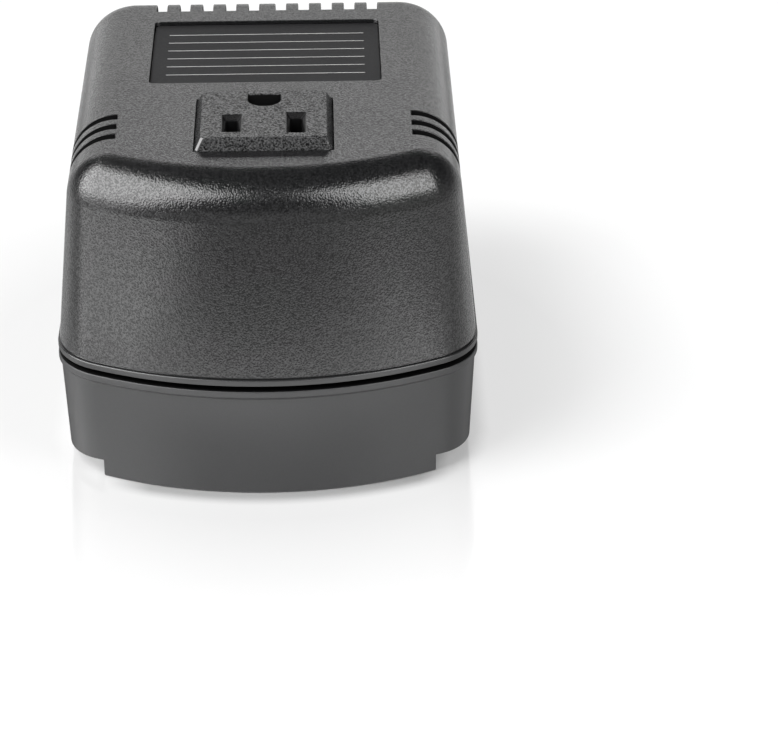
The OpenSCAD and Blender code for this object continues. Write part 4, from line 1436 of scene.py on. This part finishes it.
@dataclass
class InnerWorks:
    """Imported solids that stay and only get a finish."""

    finishes: dict[str, bpy.types.Material]
    nodes: dict[str, bpy.types.Object]
    looks: dict[str, tuple[str, ...]] = field(
        default_factory=lambda: {
            "nylon_black": ("contact_carrier",),
            "nylon": ("bobbin", "terminal_block"),
            "brass": ("line_contact", "neutral_contact", "earth_contact", "terminal_sleeves"),
            "core_sheet": ("core_e_stack", "core_i_stack"),
            "laid_copper": ("primary_winding", "secondary_winding"),
            "winding_film": ("winding_tape",),
            "zinc": (
                "carrier_screws", "front_bracket", "rear_bracket", "core_bolts", "core_nuts",
                "core_washers", "bracket_screws", "terminal_screws", "block_screws", "thermal_fuse",
            ),
            "wire_brown": ("primary_line_wire",),
            "wire_blue": ("primary_neutral_wire",),
            "wire_black": ("secondary_line_wire",),
            "wire_white": ("secondary_neutral_wire",),
            "wire_earth": ("earth_wire",),
        }
    )

    def dress(self) -> None:
        """Gives each solid its finish."""
        for finish, names in self.looks.items():
            for name in names:
                self.nodes[name].data.materials.clear()
                self.nodes[name].data.materials.append(self.finishes[finish])
                LOG.info("%s: %s", name, finish)


class Role(Enum):
    """What a lamp does: light the surfaces evenly, or only show as a glint in them."""

    LIGHT = "light"
    GLINT = "glint"


@dataclass(frozen=True)
class Softbox:
    """Large soft lamp or white card that points at a spot on the object."""

    name: str
    role: Role
    at: Triple
    aim: Triple
    size: Point
    glow: float
    roll: float = 0.0

    def build(self) -> None:
        """Makes the lamp, whose power follows from its size and from how bright its face looks."""
        data = bpy.data.lights.new(self.name, "AREA")
        data.shape = "RECTANGLE"
        data.size, data.size_y = (side * MM for side in self.size)
        data.energy = self.glow * math.pi * data.size * data.size_y
        lamp = bpy.data.objects.new(self.name, data)
        lamp.location = mm(*self.at)
        turn = (mm(*self.aim) - mm(*self.at)).to_track_quat("-Z", "Y")
        lamp.rotation_euler = (turn @ Quaternion((0, 0, 1), math.radians(self.roll))).to_euler()
        lamp.visible_camera = False
        lamp.visible_diffuse = self.role is Role.LIGHT
        lamp.visible_glossy = self.role is Role.GLINT
        bpy.context.scene.collection.objects.link(lamp)


@dataclass
class Studio:
    """White floor, soft lamps, plain surroundings and the camera."""

    lamps: tuple[Softbox, ...] = (
        Softbox("lamp_left", Role.LIGHT, (-490, -330, 930), (0, 0, 40), (540, 540), 11.2),
        Softbox("lamp_right", Role.LIGHT, (611, -495, 719), (25, -38, 50), (420, 420), 5.0),
        Softbox("panel_left", Role.GLINT, (-736, -219, 725), (-20, -35, 50), (1350, 1080), 7.3, 8.0),
        Softbox("panel_right", Role.GLINT, (595, -500, 732), (25, -38, 50), (630, 790), 6.4),
        Softbox("panel_low", Role.GLINT, (-964, -341, 155), (-20, -35, 50), (1000, 330), 2.3),
        Softbox("panel_back", Role.GLINT, (0, 300, 124), (0, 0, 124), (420, 248), 0.68),
        Softbox("panel_edge", Role.GLINT, (0, 299, 236), (0, 0, 236), (420, 30), 2.0),
        Softbox("card_left", Role.GLINT, (-210, -164, 1), (-210, -164, 100), (230, 232), 2.15),
        Softbox("card_right", Role.GLINT, (165, -165, 1), (165, -165, 100), (160, 200), 0.45),
        Softbox("card_front", Role.GLINT, (0, -137, 1), (0, -137, 100), (240, 50), 1.25),
        Softbox("card_near", Role.GLINT, (5, -94, 1), (5, -94, 100), (200, 34), 1.9),
    )
    eye: Triple = (11.72, -624.41, 323.41)
    pitch: float = 27.43
    yaw: float = 1.21
    roll: float = -0.33
    focal_px: float = 3296.0
    frame_w: float = 778.0
    floor_half: float = 4000.0
    floor_grey: float = 0.42
    floor_glow: float = 0.485
    floor_far: float = 0.06
    floor_dim: float = 0.6
    floor_r: Point = (140.0, 420.0)
    floor_rough: float = 0.12
    floor_sheen: float = 0.19
    floor_ior: float = 1.7
    contact_r: float = 5.0
    contact_open: Point = (0.7, 1.0)
    contact_darks: Triple = (1.14, 0.14, 0.66)
    contact_left: Point = (-35.0, -24.0)
    contact_right: Point = (30.0, 36.0)
    sheen_r: Point = (64.0, 115.0)
    room_z: Point = (0.1, 0.45)
    room_glow: Point = (0.95, 0.22)
    room_y: Point = (-0.4, 0.3)
    room_back: float = 0.3

    def build(self) -> None:
        """Makes the whole stage."""
        self.make_camera()
        self.make_floor()
        self.make_world()
        for lamp in self.lamps:
            lamp.build()
        bpy.context.scene.view_settings.view_transform = "Standard"

    def make_camera(self) -> None:
        """Sets the camera at the photograph's viewing angle."""
        pitch, yaw, roll = (math.radians(a) for a in (self.pitch, self.yaw, self.roll))
        level = Vector((math.cos(yaw), -math.sin(yaw), 0))
        ahead = Vector((math.sin(yaw) * math.cos(pitch), math.cos(yaw) * math.cos(pitch), -math.sin(pitch)))
        up = level.cross(ahead)
        right = level * math.cos(roll) + up * math.sin(roll)
        up = up * math.cos(roll) - level * math.sin(roll)
        data = bpy.data.cameras.new("camera")
        data.sensor_width = 36.0
        data.lens = data.sensor_width * self.focal_px / self.frame_w
        data.clip_start, data.clip_end = 0.01, 50.0
        camera = bpy.data.objects.new("camera", data)
        turn = Matrix((right, up, -ahead)).transposed().to_4x4()
        camera.matrix_world = Matrix.Translation(mm(*self.eye)) @ turn
        bpy.context.scene.collection.objects.link(camera)
        bpy.context.scene.camera = camera

    @staticmethod
    def sight(tree: Tree) -> tuple[bpy.types.NodeSocket, bpy.types.NodeSocket]:
        """Masks of what the camera sees and of what shows in a reflection.

        Args:
            tree: Tree of a material or of the world.

        Returns:
            The two masks.
        """
        path = tree.add("ShaderNodeLightPath").outputs
        seen = tree.math("MAXIMUM", path["Is Camera Ray"], path["Is Transmission Ray"])
        return seen, path["Is Glossy Ray"]

    def contact_shade(self, tree: Tree, place: bpy.types.NodeSocket) -> bpy.types.NodeSocket:
        """Share of the floor's glow that is left close to the case, where the left side is lit.

        Args:
            tree: The floor's tree.
            place: Place on the floor.

        Returns:
            The share.
        """
        left, front, right = self.contact_darks
        across = tree.add("ShaderNodeSeparateXYZ", {0: place}).outputs["X"]
        lit_side = tree.scaled(across, [x * MM for x in self.contact_left], (left, front))
        far_side = tree.scaled(across, [x * MM for x in self.contact_right], (0.0, right - front))
        least = tree.math("ADD", lit_side, far_side)
        sky = tree.add("ShaderNodeAmbientOcclusion", {"Distance": self.contact_r * MM}).outputs["AO"]
        return tree.scaled(sky, self.contact_open, (least, 1.0))

    def make_floor(self) -> None:
        """Lays a pale, slightly glossy floor that keeps the shadow."""
        half = self.floor_half
        maker = Maker()
        corners = ((-half, -half), (half, -half), (half, half), (-half, half))
        maker.bm.faces.new([maker.bm.verts.new(mm(x, y, 0)) for x, y in corners])
        floor = maker.piece("floor")
        material = bpy.data.materials.new("floor_white")
        material.use_nodes = True
        tree = Tree(material.node_tree)
        place = tree.add("ShaderNodeTexCoord").outputs["Object"]
        away = tree.add("ShaderNodeVectorMath", {0: place}, operation="LENGTH").outputs["Value"]
        near_case = [r * MM for r in self.sheen_r]
        open_floor = [r * MM for r in self.floor_r]
        sheen = tree.scaled(away, near_case, (0.0, self.floor_sheen))
        grey = tree.scaled(away, open_floor, (self.floor_grey, self.floor_far))
        shown = tree.scaled(away, open_floor, (self.floor_glow, 1.0 - self.floor_sheen))
        mirrored = tree.scaled(away, open_floor, (self.floor_glow, self.floor_dim))
        seen, reflected = self.sight(tree)
        bright = tree.math("MULTIPLY", self.contact_shade(tree, place), tree.math("ADD", shown, sheen))
        direct, indirect = tree.math("MULTIPLY", seen, bright), tree.math("MULTIPLY", reflected, mirrored)
        inputs = {
            "Base Color": tree.add("ShaderNodeCombineColor", dict.fromkeys(range(3), grey)).outputs[0],
            "Roughness": self.floor_rough,
            "IOR": self.floor_ior,
            "Specular IOR Level": tree.scaled(away, near_case, (1.0, 0.0)),
            "Emission Color": WHITE,
            "Emission Strength": tree.math("ADD", direct, indirect),
        }
        for name, value in inputs.items():
            tree.feed(material.node_tree.nodes["Principled BSDF"].inputs[name], value)
        floor.data.materials.append(material)

    def make_world(self) -> None:
        """Makes white surroundings to look at, of a room that is dim overhead."""
        world = bpy.data.worlds.new("surroundings")
        world.use_nodes = True
        tree = Tree(world.node_tree)
        way = tree.add("ShaderNodeTexCoord").outputs["Generated"]
        parts = tree.add("ShaderNodeSeparateXYZ", {0: way}).outputs
        height = tree.scaled(parts["Z"], self.room_z, self.room_glow)
        room = tree.math("MULTIPLY", height, tree.scaled(parts["Y"], self.room_y, (1.0, self.room_back)))
        seen, _ = self.sight(tree)
        back = world.node_tree.nodes["Background"]
        tree.feed(back.inputs["Color"], WHITE)
        tree.feed(back.inputs["Strength"], tree.math("MAXIMUM", seen, room))
        bpy.context.scene.world = world


def main() -> None:
    """Builds the pieces in order and sets the stage."""
    logging.basicConfig(level=logging.INFO, format="%(name)s: %(message)s")
    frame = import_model()
    effects = Effects()
    finishes = {finish.name: finish.build(effects) for finish in FINISHES}
    plan, repeats = Plan(), Repeats()
    screws = CaseScrews(finishes, repeats)
    screws.build()
    BaseShell(finishes, plan, screws).build()
    TopCover(finishes, plan, repeats, screws).build()
    SocketFace(finishes).build()
    RatingPlate(finishes, repeats).build()
    CordGland(finishes).build()
    InnerWorks(finishes, frame["nodes"]).dress()
    Studio().build()


if __name__ == "__main__":
    main()
